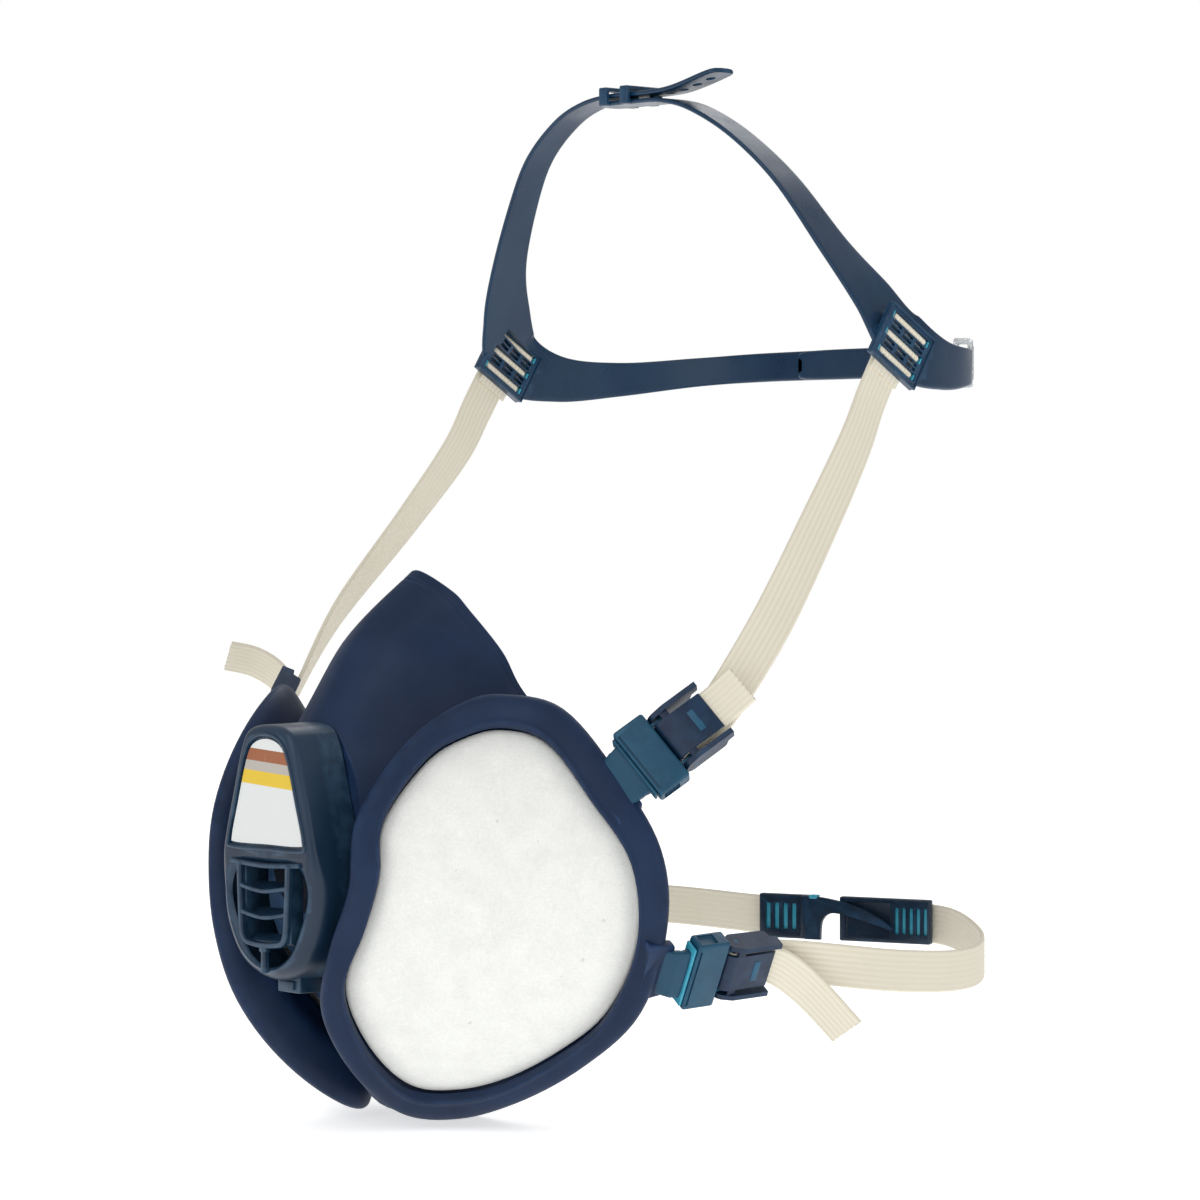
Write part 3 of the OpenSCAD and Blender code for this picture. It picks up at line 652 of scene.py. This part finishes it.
def inset(outline, d):
    """An outline moved inwards along its own normals."""
    ahead = np.roll(outline, -1, 0) - np.roll(outline, 1, 0)
    n = np.column_stack([-ahead[:, 1], ahead[:, 0]])
    n /= np.linalg.norm(n, axis=1)[:, None]
    middle = outline.mean(0)
    n *= np.where(((middle - outline) * n).sum(1) > 0, 1, -1)[:, None]
    return outline + n * np.asarray(d).reshape(-1, 1)


def valve_cover():
    """Domed cover: broad rounded shoulder round the vent, a tighter one round the label."""
    shoulder = 2.0 + 2.8 * smooth(9, -4, COVER[:, 1])
    rings = []
    for y, d in ((0, 0.35), (0.3, 0), (5, 0.1), (9, 0.2)):
        rings.append(at_y(inset(COVER, d), COVER_BACK - y))
    for a in np.radians(np.arange(0, 91, 9)):
        o = inset(COVER, 0.25 + shoulder * (1 - math.cos(a)))
        rings.append(at_y(o, COVER_FACE + shoulder * (1 - math.sin(a))))
    o = inset(COVER, 0.6 + shoulder)
    rings += [shrunk(o, k, COVER_FACE) for k in (1, 0.6, 0.1)]
    obj = loft("valve_cover_shell", rings)
    hollow = []
    for y, d in ((COVER_BACK + 1, COVER_WALL), (COVER_FACE + 6, COVER_WALL),
                 (COVER_FACE + 3, COVER_WALL + 0.12 * shoulder), (COVER_FACE + 1.4, 1.4 + 0.42 * shoulder)):
        hollow.append(at_y(inset(COVER, d), y))
    mid = VENT.mean(0)
    funnel = []
    for y, grow in ((-1, 1.22), (0, 1.13), (0.6, 1.04), (1.4, 1.0), (5, 1.0)):
        funnel.append(at_y(mid + (VENT - mid) * grow, COVER_FACE + y))
    cut(obj, [loft("hollow", hollow), loft("funnel", funnel),
              prism(LABEL_FRAME, COVER_FACE - 3, COVER_FACE + 0.7)])
    lip = [tube([(x, COVER_FACE, z) for x, z in inset(LABEL_FRAME, -0.5)], 0.45, 0.35, closed=True)]
    merge(obj, [block((-4.5, COVER_FACE + 7, -28), (4.5, COVER_FACE + 14, -23.4), 0.5),
                block((-2.6, COVER_FACE + 6.2, -27.2), (2.6, COVER_FACE + 8, -25), 0.3)])
    join(obj, lip + cage() + louvres())
    soften(obj, 0.12, 40)
    return finish_piece(obj, PETROL, "mask", "valve_cover", 42)


def tube(points, w, t, closed=False, up=(0, 1, 0), sides=12):
    """A bar of rounded section (half sizes w across and t along up) through points."""
    p = np.asarray(points, float)
    n = len(p)
    rings = []
    a = np.arange(sides) * 2 * math.pi / sides
    across, high = squircle(a, w, t, 0.6)
    for i in range(n):
        ahead = p[(i + 1) % n] - p[i - 1] if closed else p[min(i + 1, n - 1)] - p[max(i - 1, 0)]
        side = unit(np.cross(unit(ahead), up))
        rings.append(p[i] + np.outer(across, side) + np.outer(high, np.asarray(up, float)))
    return loft("tube", rings, loop=closed)


def cage():
    """The basket over the vent: a rounded frame, two sagging rungs, a brow above and the stalk below."""
    y = COVER_FACE - 0.3
    half = [(9.6, 4), (9.5, 0), (9.1, -7), (8.6, -12.6), (7.2, -15), (4, -15.7)]
    line = [(-x, y, z) for x, z in half] + [(0, y, -15.9)] + [(x, y, z) for x, z in half[::-1]]
    bars = [tube(curve(line, 6), 0.75, 0.95)]
    for z in (-2.2, -8.6):
        x = 9.4 + z * 0.05
        sag = [(-x, y, z + 0.6), (0, y - 0.2, z - 0.5), (x, y, z + 0.6)]
        bars.append(tube(curve(sag, 8), 0.6, 0.85))
    bars.append(tube(curve([(-13.6, y + 0.6, 4.1), (0, y, 3.5), (13.6, y + 0.6, 4.1)], 8), 0.7, 0.9))
    bars.append(tube(curve([(0, y, -15.8), (0.1, y, -17.5), (0, y, -22.6)], 6), 0.7, 0.95))
    bars.append(block((-1.3, y - 0.9, -17.6), (1.3, y + 0.9, -15.6), 0.4))
    return bars


def louvres():
    """Tilted slats behind the basket, between two side plates."""
    parts = []
    for x in (-9.4, 8.4):
        parts.append(block((x, COVER_FACE + 0.4, -15.2), (x + 1, COVER_FACE + 4.4, 3.6), 0.3))
    for z in (-0.6, -7, -13.2):
        slat = block((-9, 0, -0.5), (9, 3.6, 0.5), 0.35)
        lean = Matrix.Rotation(LOUVRE_TILT, 4, "X")
        parts.append(put(slat, Matrix.Translation((0, COVER_FACE + 1.6, z - 2.2)) @ lean))
    return parts


# ---- Clips ---------------------------------------------------------------

# A clip's frame: where it is, the way along it and the way out of its face
UPPER = ((74.9, -1.1, 30.5), (0.398, 0.716, 0.573), (0.658, -0.658, 0.365))
LOWER = ((79, 11.5, -21), (0.2055, 0.9753, 0.0753), (0.824, -0.131, -0.551))
CLIPS = (("upper", UPPER), ("lower", LOWER))
PIN_X = 8
PIN_R = 0.8
FORK = 5.45
FORK_T = 1
NECK_DROP = 3.6
HALF_LEVER = 8
RAIL_T = 1.35
HUB_R = 2.9
LID_R = 2.2
LID_T = 0.8


def anchor(level, clip, side, s):
    """Neck with faint stiffening ribs, collar sleeve, fork and pin, and the lip behind the collar."""
    name = "anchor_%s_%s" % (level, side)
    obj = block((-4, -9.75, -2.7), (4.85, 9.75, 2.7), 0.8, 4, name + "_clip")
    cut(obj, [block((0.5, -8.3, -2), (6, 8.3, 2), 0.3), block((-2.9, -12, -1.7), (1.6, -9.1, 1.7), 0.3),
              block((-2.9, 9.1, -1.7), (1.6, 12, 1.7), 0.3), block((-3.4, -8.2, 2.3), (-2.9, 8.2, 4), 0.05)])
    ribbed = ((-13, 6.2, 1.1), (-11, 6.3, 1.2), (-9, 6.5, 1.3), (-8.5, 6.6, 1.1), (-8.1, 6.6, 1.3),
              (-7.2, 6.8, 1.3), (-6.7, 6.8, 1.1), (-6.3, 6.8, 1.3), (-5.4, 7.0, 1.3), (-3.2, 7.2, 1.35))
    neck = [neck_ring(x, w, t, NECK_DROP * smooth(-6, -14, x), 32) for x, w, t in ribbed]
    merge(obj, [loft("neck", neck)])
    merge(obj, [block((0.3, y, -1.3), (9.8, y + FORK_T, 1.3), 0.25) for y in (-FORK - FORK_T, FORK)])
    merge(obj, [rod(PIN_R, -HALF_LEVER, HALF_LEVER, 1, (PIN_X, 0, 0), 32)])
    soften(obj, 0.15, 40)
    put(obj, axes_at(*clip))
    finish_piece(to_side(obj, s), TEAL, "mask", name, 42)
    lip = block((-4.9, -8.6, -2.1), (-4.2, 8.6, 2.1), 0.3, 3, name + "_lip")
    put(lip, axes_at(*clip))
    finish_piece(to_side(lip, s), BRIGHT if level == "lower" else TEAL, "mask", name, 42)


def arc(radius, start, end):
    """Points of an arc about the origin, between two angles in degrees."""
    return [(radius * math.cos(a), radius * math.sin(a)) for a in np.radians(np.linspace(start, end, 11))]


def buckle(level, clip, side, s):
    """Lever: two hubbed rails with stepped ends, and a sunk lid curled down before the pin."""
    name = "buckle_%s_%s" % (level, side)
    pin = Matrix.Translation((PIN_X, 0, 0))
    top = LID_R + LID_T
    lid = arc(LID_R, 90, 180) + arc(top, 180, 90) + [(10.1, top), (10.6, top - 0.4), (10.6, LID_R)]
    obj = put(prism(lid, -FORK + 0.25, FORK - 0.25), pin)
    obj.name = name + "_lever"
    merge(obj, [put(block((-0.2, -HALF_LEVER + 0.4, 2.25), (2, HALF_LEVER - 0.4, 2.95), 0.2), pin)])
    rail = arc(HUB_R, 250, 115) + [
        (1.5, 3.6), (11.3, 3.7), (11.3, 0.4), (9.6, 0), (9, -2), (8.4, -2.4), (0, -2.7)]
    merge(obj, [put(prism(rail, y, y + RAIL_T), pin) for y in (-HALF_LEVER, HALF_LEVER - RAIL_T)])
    cut(obj, [rod(PIN_R + 0.05, -30, 30, 1, (PIN_X, 0, 0), 32)])
    soften(obj, 0.12, 40)
    put(obj, axes_at(*clip))
    finish_piece(to_side(obj, s), BUCKLE, name, name, 42)
    bar = block((13.2, -2.9, 2.8), (14.9, 2.9, 3.1), 0.12, 2, name + "_mark")
    put(bar, axes_at(*clip))
    finish_piece(to_side(bar, s), MARK, name, name, 42)


# ---- Straps --------------------------------------------------------------

STRAP_W = 10.5
STRAP_T = 1.2
WRAP_R = 1.5
RIB_HEIGHT = 0.028


def flat_ring(width, thick, ribs=False, count=72):
    """Closed section of a flat band with round edges; ribs runs shallow warp ribs along it."""
    r = thick / 2
    x = np.linspace(-width / 2 + r, width / 2 - r, count)
    wave = RIB_HEIGHT * np.cos(2 * math.pi * x / RIB_PITCH) if ribs else 0 * x
    a = np.radians(np.arange(-72, 73, 24))
    right = np.column_stack([width / 2 - r + r * np.cos(a), r * np.sin(a)])
    top = np.column_stack([x[::-1], (r + wave)[::-1]])
    left = np.column_stack([-right[::-1, 0], right[::-1, 1]])
    bottom = np.column_stack([x, -(r + wave)])
    return np.vstack([right, top, left, bottom])


def sweep(name, path, thick, steps, ribs=False, frayed=False, up_given=False, count=72):
    """A flat band along stations of (point, direction, width).

    The direction runs across the band or, when up_given, out of its face.
    """
    pts = curve([p[0] for p in path], steps)
    dirs = curve([p[1] for p in path], steps)
    widths = curve([[p[2]] for p in path], steps)[:, 0]
    last = len(pts) - 1
    length = np.concatenate([[0], np.cumsum(np.linalg.norm(np.diff(pts, axis=0), axis=1))])
    rings, across_all, along_all = [], [], []
    for i in range(last + 1):
        run = unit(pts[min(i + 1, last)] - pts[max(i - 1, 0)])
        side = unit(dirs[i] - run * (dirs[i] @ run))
        if up_given:
            side = np.cross(side, run)
        up = np.cross(run, side)
        section = flat_ring(widths[i], thick, ribs, count)
        ring = pts[i] + np.outer(section[:, 0], side) + np.outer(section[:, 1], up)
        if frayed and i == 0:
            ring -= np.outer(0.12 * np.sin(section[:, 0] * 4.1) + 0.07 * np.sin(section[:, 0] * 9.7), run)
        rings.append(ring)
        across_all.append(section[:, 0])
        along_all.append(np.full(len(section), length[i]))
    attributes = {"across": np.concatenate(across_all), "along": np.concatenate(along_all)}
    return loft(name, rings, attributes=attributes)


def clip_stations(clip, tail):
    """Stations in a clip's frame: the free tail, the turn round the pin and the start of the main run."""
    m = axes_at(*clip)
    wrap = [(PIN_X + 12, WRAP_R + 0.3), (PIN_X + 5, WRAP_R)]
    wrap += [(PIN_X + WRAP_R * math.cos(a), WRAP_R * math.sin(a)) for a in np.radians(np.arange(90, 271, 45))]
    wrap += [(PIN_X + 5, -WRAP_R), (PIN_X + 12, -WRAP_R)]
    places = [(PIN_X + x, y, z) for x, z, y in tail] + [(x, 0, z) for x, z in wrap]
    return [(np.array(m @ Vector(p)), np.array(m.col[1][:3]), STRAP_W) for p in places]


# The free ends, in the clip's frame: along from the pin, out, and across
LOWER_TAIL = [(28, 16.5, -11.5), (20, 7, -4.5)]
TAILS = {
    "upper_left": [(20, 4.6, 0)],
    "upper_right": [(15.6, 19.3, 0), (17.2, 12.5, 0), (15.8, 6, 0)],
    "lower_left": LOWER_TAIL,
    "lower_right": LOWER_TAIL,
}
UPPER_RUN = [
    ((84, 30, 62), (-0.5, -0.4, 0.6)), ((80, 51, 87), (-0.3, -0.7, 0.5)), ((77, 66, 106), (-0.1, -0.8, 0.5)),
    ((74, 75, 118), (0, -0.85, 0.53)), ((73.2, 82, 128.5), (0, -0.85, 0.53)),
]
# Seen from its face, the left end passes under the ladder and the right end passes over it
UPPER_END = {
    "left": UPPER_RUN[-2:],
    "right": [((77.4, 74, 118), (0, -0.85, 0.53)), ((78.2, 80, 126.5), (0, -0.85, 0.53))],
}
LOWER_RUNS = {
    "left": [(89, 46, -21), (89, 68, -24), (82, 96, -26.5), (70, 119, -27), (54, 136, -25),
             (34.6, 144.4, -21.5), (17, 138.6, -20.4)],
    "right": [(89, 46, -19), (86, 76, -18), (68, 103, -18), (42, 117, -19), (18, 125.6, -20.4),
              (6, 130.6, -20.4)],
}


def straps():
    """Four webbing straps, three of them ending on a part that moves."""
    for level, clip in CLIPS:
        for side, s in SIDES:
            name = "strap_%s_%s" % (level, side)
            if level == "upper":
                run = [(p, d, STRAP_W) for p, d in UPPER_RUN[:-2] + UPPER_END[side]]
                joined = "cradle_" + side
            else:
                run = [(p, (0 if i else 0.2, 0, 1), STRAP_W) for i, p in enumerate(LOWER_RUNS[side])]
                joined = "neck_clasp_hook" if side == "left" else None
            path = clip_stations(clip, TAILS["%s_%s" % (level, side)]) + run
            obj = to_side(sweep(name + "_webbing", path, STRAP_T, 8, ribs=True, frayed=True), s)
            finish_piece(obj, ELASTIC, None if joined else "mask", name, 55)
            if joined:
                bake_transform(obj)


# ---- Head cradle ---------------------------------------------------------

ARM_W = 9
BAND_T = 1.2
CROWN_Y = 66
CROWN_Z = 196.7
BACK_Y = 138.2
LAP = 2
OVER_Z = CROWN_Z + LAP
OVER_Y = BACK_Y + LAP
CORNER = [
    ((70.5, 79, 144), (0.95, 0.05, 0.3), 15.5), ((75.2, 86, 132), (1, 0.1, 0.1), 18.6),
    ((74, 101, 127), (0.95, 0.3, 0), 13), ((67, 118, 127), (0.75, 0.65, 0), 9.5),
    ((50, 133, 129), (0.45, 0.9, 0), 8),
]
# The right half's arm lies over the left half's, at the crown and at the back
CROWNS = {
    "left": [
        ((-14, CROWN_Y, CROWN_Z), (0, 0, 1), ARM_W), ((0, CROWN_Y, CROWN_Z), (0, 0, 1), ARM_W),
        ((10, CROWN_Y, 196.3), (0.1, 0, 1), ARM_W), ((21, CROWN_Y, 193.5), (0.3, 0, 0.95), ARM_W),
        ((35, 67, 186), (0.5, 0, 0.87), ARM_W), ((48.5, 70, 174), (0.75, 0, 0.66), 9.5),
        ((61.5, 74, 157), (0.87, 0, 0.5), 11.5),
    ],
    "right": [
        ((-30, CROWN_Y, 202.7), (0.2, 0, 1), ARM_W), ((-14, CROWN_Y, 199.3), (0.1, 0, 1), ARM_W),
        ((-3, CROWN_Y, OVER_Z), (0, 0, 1), ARM_W), ((9, CROWN_Y, OVER_Z), (0, 0, 1), ARM_W),
        ((20, CROWN_Y, 197.4), (0.2, 0, 1), ARM_W), ((31, 66.5, 193.5), (0.4, 0, 0.9), ARM_W),
        ((43, 67.5, 185), (0.6, 0, 0.8), ARM_W), ((52.5, 70, 174), (0.75, 0, 0.66), 9.5),
        ((63.5, 74, 157), (0.87, 0, 0.5), 11.5),
    ],
}
BACKS = {
    "left": [((28, BACK_Y, 130), (0, 1, 0), 8), ((-14, BACK_Y, 130), (0, 1, 0), 8)],
    "right": [((28, OVER_Y, 130), (0, 1, 0), 8), ((-20, OVER_Y, 130), (0, 1, 0), 8)],
}
LADDER = axes_at((76, 84, 131.3), (0, 0.846, -0.533), (1, 0, 0))
LADDER_HALF = (9, 7.5)
SLOT_HALF = 7.5
SLOT_PITCH = 5
# Half thickness of each ladder plate, and how far it is set in
PLATES = {"left": (0.75, 0), "right": (1.05, -0.7)}
KEEPERS = (-10, -2)


def rounded_tip(end, neighbour):
    """Two stations that narrow a band to a round tip, the tip first."""
    point, way, width = end
    away = unit(np.subtract(point, neighbour[0]))
    return [(np.add(point, away * 0.1), way, width * 0.45), (np.add(point, away * -2.2), way, width * 0.98)]


def ladder_holes():
    """Cutters for three strap slots, and two rows of small windows in each bar between them."""
    x = SLOT_HALF
    holes = [block((-x, j * SLOT_PITCH - 1, -4), (x, j * SLOT_PITCH + 1, 4), 0.25) for j in (-1, 0, 1)]
    for j in (-0.5, 0.5):
        for x in (-4.7, 0, 4.7):
            for k in (-0.65, 0.65):
                y = j * SLOT_PITCH + k
                holes.append(block((x - 1.8, y - 0.42, -4), (x + 1.8, y + 0.42, 4), 0.1))
    return holes


def ladder_frame(thick):
    """Raised edges on both faces of the ladder plate."""
    x, y = np.subtract(LADDER_HALF, 0.3)
    corners = ((-x, -y), (x, -y), (x, y), (-x, y))
    return [tube([(u, v, z) for u, v in corners], 0.4, 0.35, True, (0, 0, 1)) for z in (-thick, thick)]


def cradle(side, s):
    """One half of the head cradle: a band over the crown and round the back, with its ladder plate."""
    path = CROWNS[side] + CORNER + BACKS[side]
    path = rounded_tip(path[0], path[1]) + path[1:-1] + rounded_tip(path[-1], path[-2])[::-1]
    obj = sweep("cradle_%s_band" % side, path, BAND_T, 10, up_given=True, count=14)
    thick, inset_z = PLATES[side]
    place = LADDER @ Matrix.Translation((0, 0, inset_z))
    x, y = LADDER_HALF
    merge(obj, [put(block((-x, -y, -thick), (x, y, thick), 0.35), place)], solver="MANIFOLD")
    cut(obj, [put(h, place) for h in ladder_holes()], "MANIFOLD")
    if side == "right":
        holes = [rod(1.3, -6, 12, 2, (x, CROWN_Y, CROWN_Z), 24) for x in range(-10, -26, -5)]
        cut(obj, holes, "MANIFOLD")
    join(obj, [put(edge, place) for edge in ladder_frame(thick)])
    if side == "left":
        join(obj, crown_keepers())
    soften(obj, 0.1, 45)
    name = "cradle_" + side
    finish_piece(to_side(obj, s), CRADLE, name, name, 42)
    ladder_elastic(side, s, place)


def crown_keepers():
    """Two bridges that hold the right half's arm, and the peg for its holes."""
    parts = []
    for x in KEEPERS:
        sleeve = block((x - 1.5, CROWN_Y - 6, CROWN_Z - 0.6), (x + 1.5, CROWN_Y + 6, CROWN_Z + 4.2), 0.4)
        room = block((x - 3, CROWN_Y - 4.9, CROWN_Z + 0.6), (x + 3, CROWN_Y + 4.9, CROWN_Z + 3.2), 0.25)
        parts.append(cut(sleeve, [room]))
    parts.append(rod(1.2, 0, 0.8, 2, (5, CROWN_Y, CROWN_Z + 0.4), 24))
    return parts


def ladder_elastic(side, s, place):
    """The strap's end woven through the ladder's slots, with teal stops beside it."""
    name = "cradle_" + side
    path = []
    for y, z in ((-9.5, -1.9), (-7, -1.4), (-5, 0.1), (-3.7, -0.9), (-2.5, -1.3), (-1.3, -0.9), (0, 0.2),
                 (1.3, -0.9), (2.5, -1.3), (3.7, -0.9), (5, 0.2), (6, -0.9), (7, -1.6)):
        path.append(((0, y, z * s), (1, 0, 0), 12.8 if y > -6 else STRAP_W))
    weave = put(sweep(name + "_weave", path, 0.9, 5, ribs=True), place)
    finish_piece(to_side(weave, s), ELASTIC, name, "strap_upper_" + side, 55)
    stops = piece(name + "_stops", [], [])
    for x in (-SLOT_HALF + 0.05, SLOT_HALF - 0.6):
        for y in (-SLOT_PITCH, 0, SLOT_PITCH):
            join(stops, [block((x, y - 0.9, -0.9), (x + 0.55, y + 0.9, 0.6), 0.1)])
    put(stops, place)
    finish_piece(to_side(stops, s), BRIGHT, name, name, 42)


def back_keeper():
    """Clear sleeve round the band, behind the left corner."""
    obj = block((-4, -6.4, -2.3), (4, 6.4, 2.3), 0.7, 4, "clear_keeper")
    cut(obj, [block((-5, -5, -1.5), (5, 5, 1.5), 0.4), block((-6, -2.4, 1.9), (-2.8, 2.4, 4), 0.3)])
    merge(obj, [block((-2.6, -4.4, 2.1), (2.6, 4.4, 2.6), 0.2)])
    put(obj, axes_at((52.5, 131.3, 128.8), (-0.75, 0.66, 0.08), (0.66, 0.75, 0)))
    finish_piece(obj, CLEAR, "cradle_left", "back_keeper", 42)


# ---- Neck clasp ----------------------------------------------------------

CLASP_AT = axes_at((8, 132.6, -20.4), (0.94, 0.342, 0), (0.342, -0.94, 0))


def windows(x0, pitch):
    """Cutters for five windows across a clasp plate."""
    return [block((x0 + i * pitch, -3.6, -5), (x0 + (i + 0.55) * pitch, 3.6, 10), 0.25) for i in range(5)]


def clasp(part, low, high, x0, pitch, extra, pocket, trim, body):
    """One half: a ladder plate with teal behind its windows, and what joins it to the other half."""
    obj = block(low, high, 0.5, 3, "clasp_%s_plate" % part)
    cut(obj, windows(x0, pitch) + pocket, "MANIFOLD")
    merge(obj, extra)
    soften(obj, 0.1, 45)
    put(obj, CLASP_AT)
    finish_piece(obj, CLASP, body, "clasp_" + part, 42)
    back = block((x0 - 0.4, -3.7, -0.5), (x0 + 4.7 * pitch, 3.7, 0.5), 0.2, 2, "clasp_%s_windows" % part)
    put(join(back, trim), CLASP_AT)
    finish_piece(back, BRIGHT, body, "clasp_" + part, 42)


def clasps():
    """The loop half with its hooked arm, and the hook half with the pocket that the arm drops into."""
    top = curve([(-11, 5.9), (-6, 5.6), (0, 4.6), (6, 2.9), (11, 0.6), (15, -2)], 4)
    under = curve([
        (14.6, -2.6), (10, -1.2), (4, 0.4), (-1, 1.4), (-4, 1.2), (-5.9, -0.6), (-6.4, -3), (-6.5, -5.9),
    ], 4)
    outline = np.vstack([top, under, [(-11, -5.9)]])
    arm = loft("arm", [[(x, y, z) for x, y in outline] for z in (1.35, 2.5)])
    root = block((-12.5, -5.8, -0.9), (-8.2, 5.8, 2.3), 0.3)
    spur = block((-9.8, 5.2, 0.4), (-7.4, 6.25, 2.7), 0.3)
    clasp("loop", (-25.5, -6, -1.2), (-10, 6, 1.2), -23.5, 2.6, [root, arm], [], [spur], "mask")
    pocket = [block((0.6, -4.8, 0.75), (13.6, 4.8, 3), 0.3)]
    clasp("hook", (-1.4, -6, -1.2), (25.3, 6, 1.2), 15, 2.1, [], pocket, [], "neck_clasp_hook")


# ---- Kept CAD nodes ------------------------------------------------------


def kept_nodes():
    """CAD parts whose shape is right get a finish and rounded edges."""
    finishes = {"valve_seat": SEAT, "exhalation_flap": FLAP, "cover_label": LABEL}
    for side, _ in SIDES:
        finishes["inhalation_seat_" + side] = PALE
        finishes["inhalation_flap_" + side] = FLAP
        finishes["inner_grid_" + side] = GRID
    for name, material in finishes.items():
        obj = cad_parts[name]
        obj.data.materials.clear()
        obj.data.materials.append(material)
        soften(obj, 0.12 if name == "cover_label" else 0.22, 40)


# ---- Stage ---------------------------------------------------------------

VIEW_AZ = 48
VIEW_EL = 1
VIEW_TARGET = (31.04, 22.28, 67.5)
VIEW_DISTANCE = 1100
FLOOR_Z = -62.6
FLOOR_RADII = (30, 300, 1000, 3500)


def direction(azimuth, elevation):
    """The way from the part towards a viewer at those angles, in degrees."""
    a, e = math.radians(azimuth), math.radians(elevation)
    return Vector((math.sin(a) * math.cos(e), -math.cos(a) * math.cos(e), math.sin(e)))


def lamp(name, azimuth, elevation, distance, size, power):
    """A square soft light, aimed at the part; distance and size are metres."""
    light = bpy.data.lights.new(name, "AREA")
    light.size, light.energy = size, power
    obj = bpy.data.objects.new(name, light)
    away = direction(azimuth, elevation)
    obj.location = Vector(VIEW_TARGET) * MM + away * distance
    obj.rotation_euler = away.to_track_quat("Z", "Y").to_euler()
    bpy.context.scene.collection.objects.link(obj)


def paper_floor():
    """A pale paper disc that lights itself a little."""
    sides = 96
    a = np.arange(sides) * 2 * math.pi / sides
    rings = [np.column_stack([r * np.cos(a), r * np.sin(a), np.full(sides, FLOOR_Z)]) for r in FLOOR_RADII]
    faces = [tuple(range(sides))]
    for j in range(len(FLOOR_RADII) - 1):
        for i in range(sides):
            near, far = j * sides, (j + 1) * sides
            faces.append((near + i, near + (i + 1) % sides, far + (i + 1) % sides, far + i))
    floor = piece("floor", np.vstack(rings), faces)
    s = Shader("floor_paper", Roughness=0.9, Specular_IOR_Level=0.1, Emission_Color=(1, 1, 1, 1),
               Emission_Strength=0.62)
    paper = s.mix(s.noise(8, 2), linear(240, 240, 240), linear(245, 245, 245))
    floor.data.materials.append(s.paint(paper))


def sky():
    """White surroundings, brighter to the camera than to the part."""
    world = bpy.data.worlds.new("studio")
    world.use_nodes = True
    nodes, links = world.node_tree.nodes, world.node_tree.links
    seen = nodes.new("ShaderNodeLightPath").outputs["Is Camera Ray"]
    level = nodes.new("ShaderNodeMapRange")
    level.inputs["To Min"].default_value = 0.5
    level.inputs["To Max"].default_value = 1.0
    links.new(seen, level.inputs["Value"])
    links.new(level.outputs[0], nodes["Background"].inputs["Strength"])
    nodes["Background"].inputs["Color"].default_value = (1, 1, 1, 1)
    bpy.context.scene.world = world


def camera():
    """The camera, level with the mask and in front of its left side."""
    cam = bpy.data.cameras.new("camera")
    cam.lens, cam.sensor_width = 132, 36
    cam.clip_start, cam.clip_end = 0.05, 20
    obj = bpy.data.objects.new("camera", cam)
    back = direction(VIEW_AZ, VIEW_EL)
    obj.location = (Vector(VIEW_TARGET) + back * VIEW_DISTANCE) * MM
    obj.rotation_mode = "QUATERNION"
    obj.rotation_quaternion = (-back).to_track_quat("-Z", "Y")
    bpy.context.scene.collection.objects.link(obj)
    bpy.context.scene.camera = obj


def stage():
    """Floor, surroundings, lamps and camera."""
    paper_floor()
    sky()
    bpy.context.scene.view_settings.view_transform = "Standard"
    lamp("key", 20, 42, 1.3, 1.1, 4.4)
    lamp("fill", 92, 8, 1.5, 1.2, 3.2)
    lamp("low", 12, -1, 1.4, 0.9, 1.8)
    lamp("back", 205, 50, 1.4, 1.0, 5)
    camera()


# ---- Build ---------------------------------------------------------------

facepiece()
valve_cover()
for side, s in SIDES:
    cartridge_case(side, s)
    filters(side, s)
    cradle(side, s)
    for level, clip in CLIPS:
        anchor(level, clip, side, s)
        buckle(level, clip, side, s)
straps()
back_keeper()
clasps()
kept_nodes()
stage()
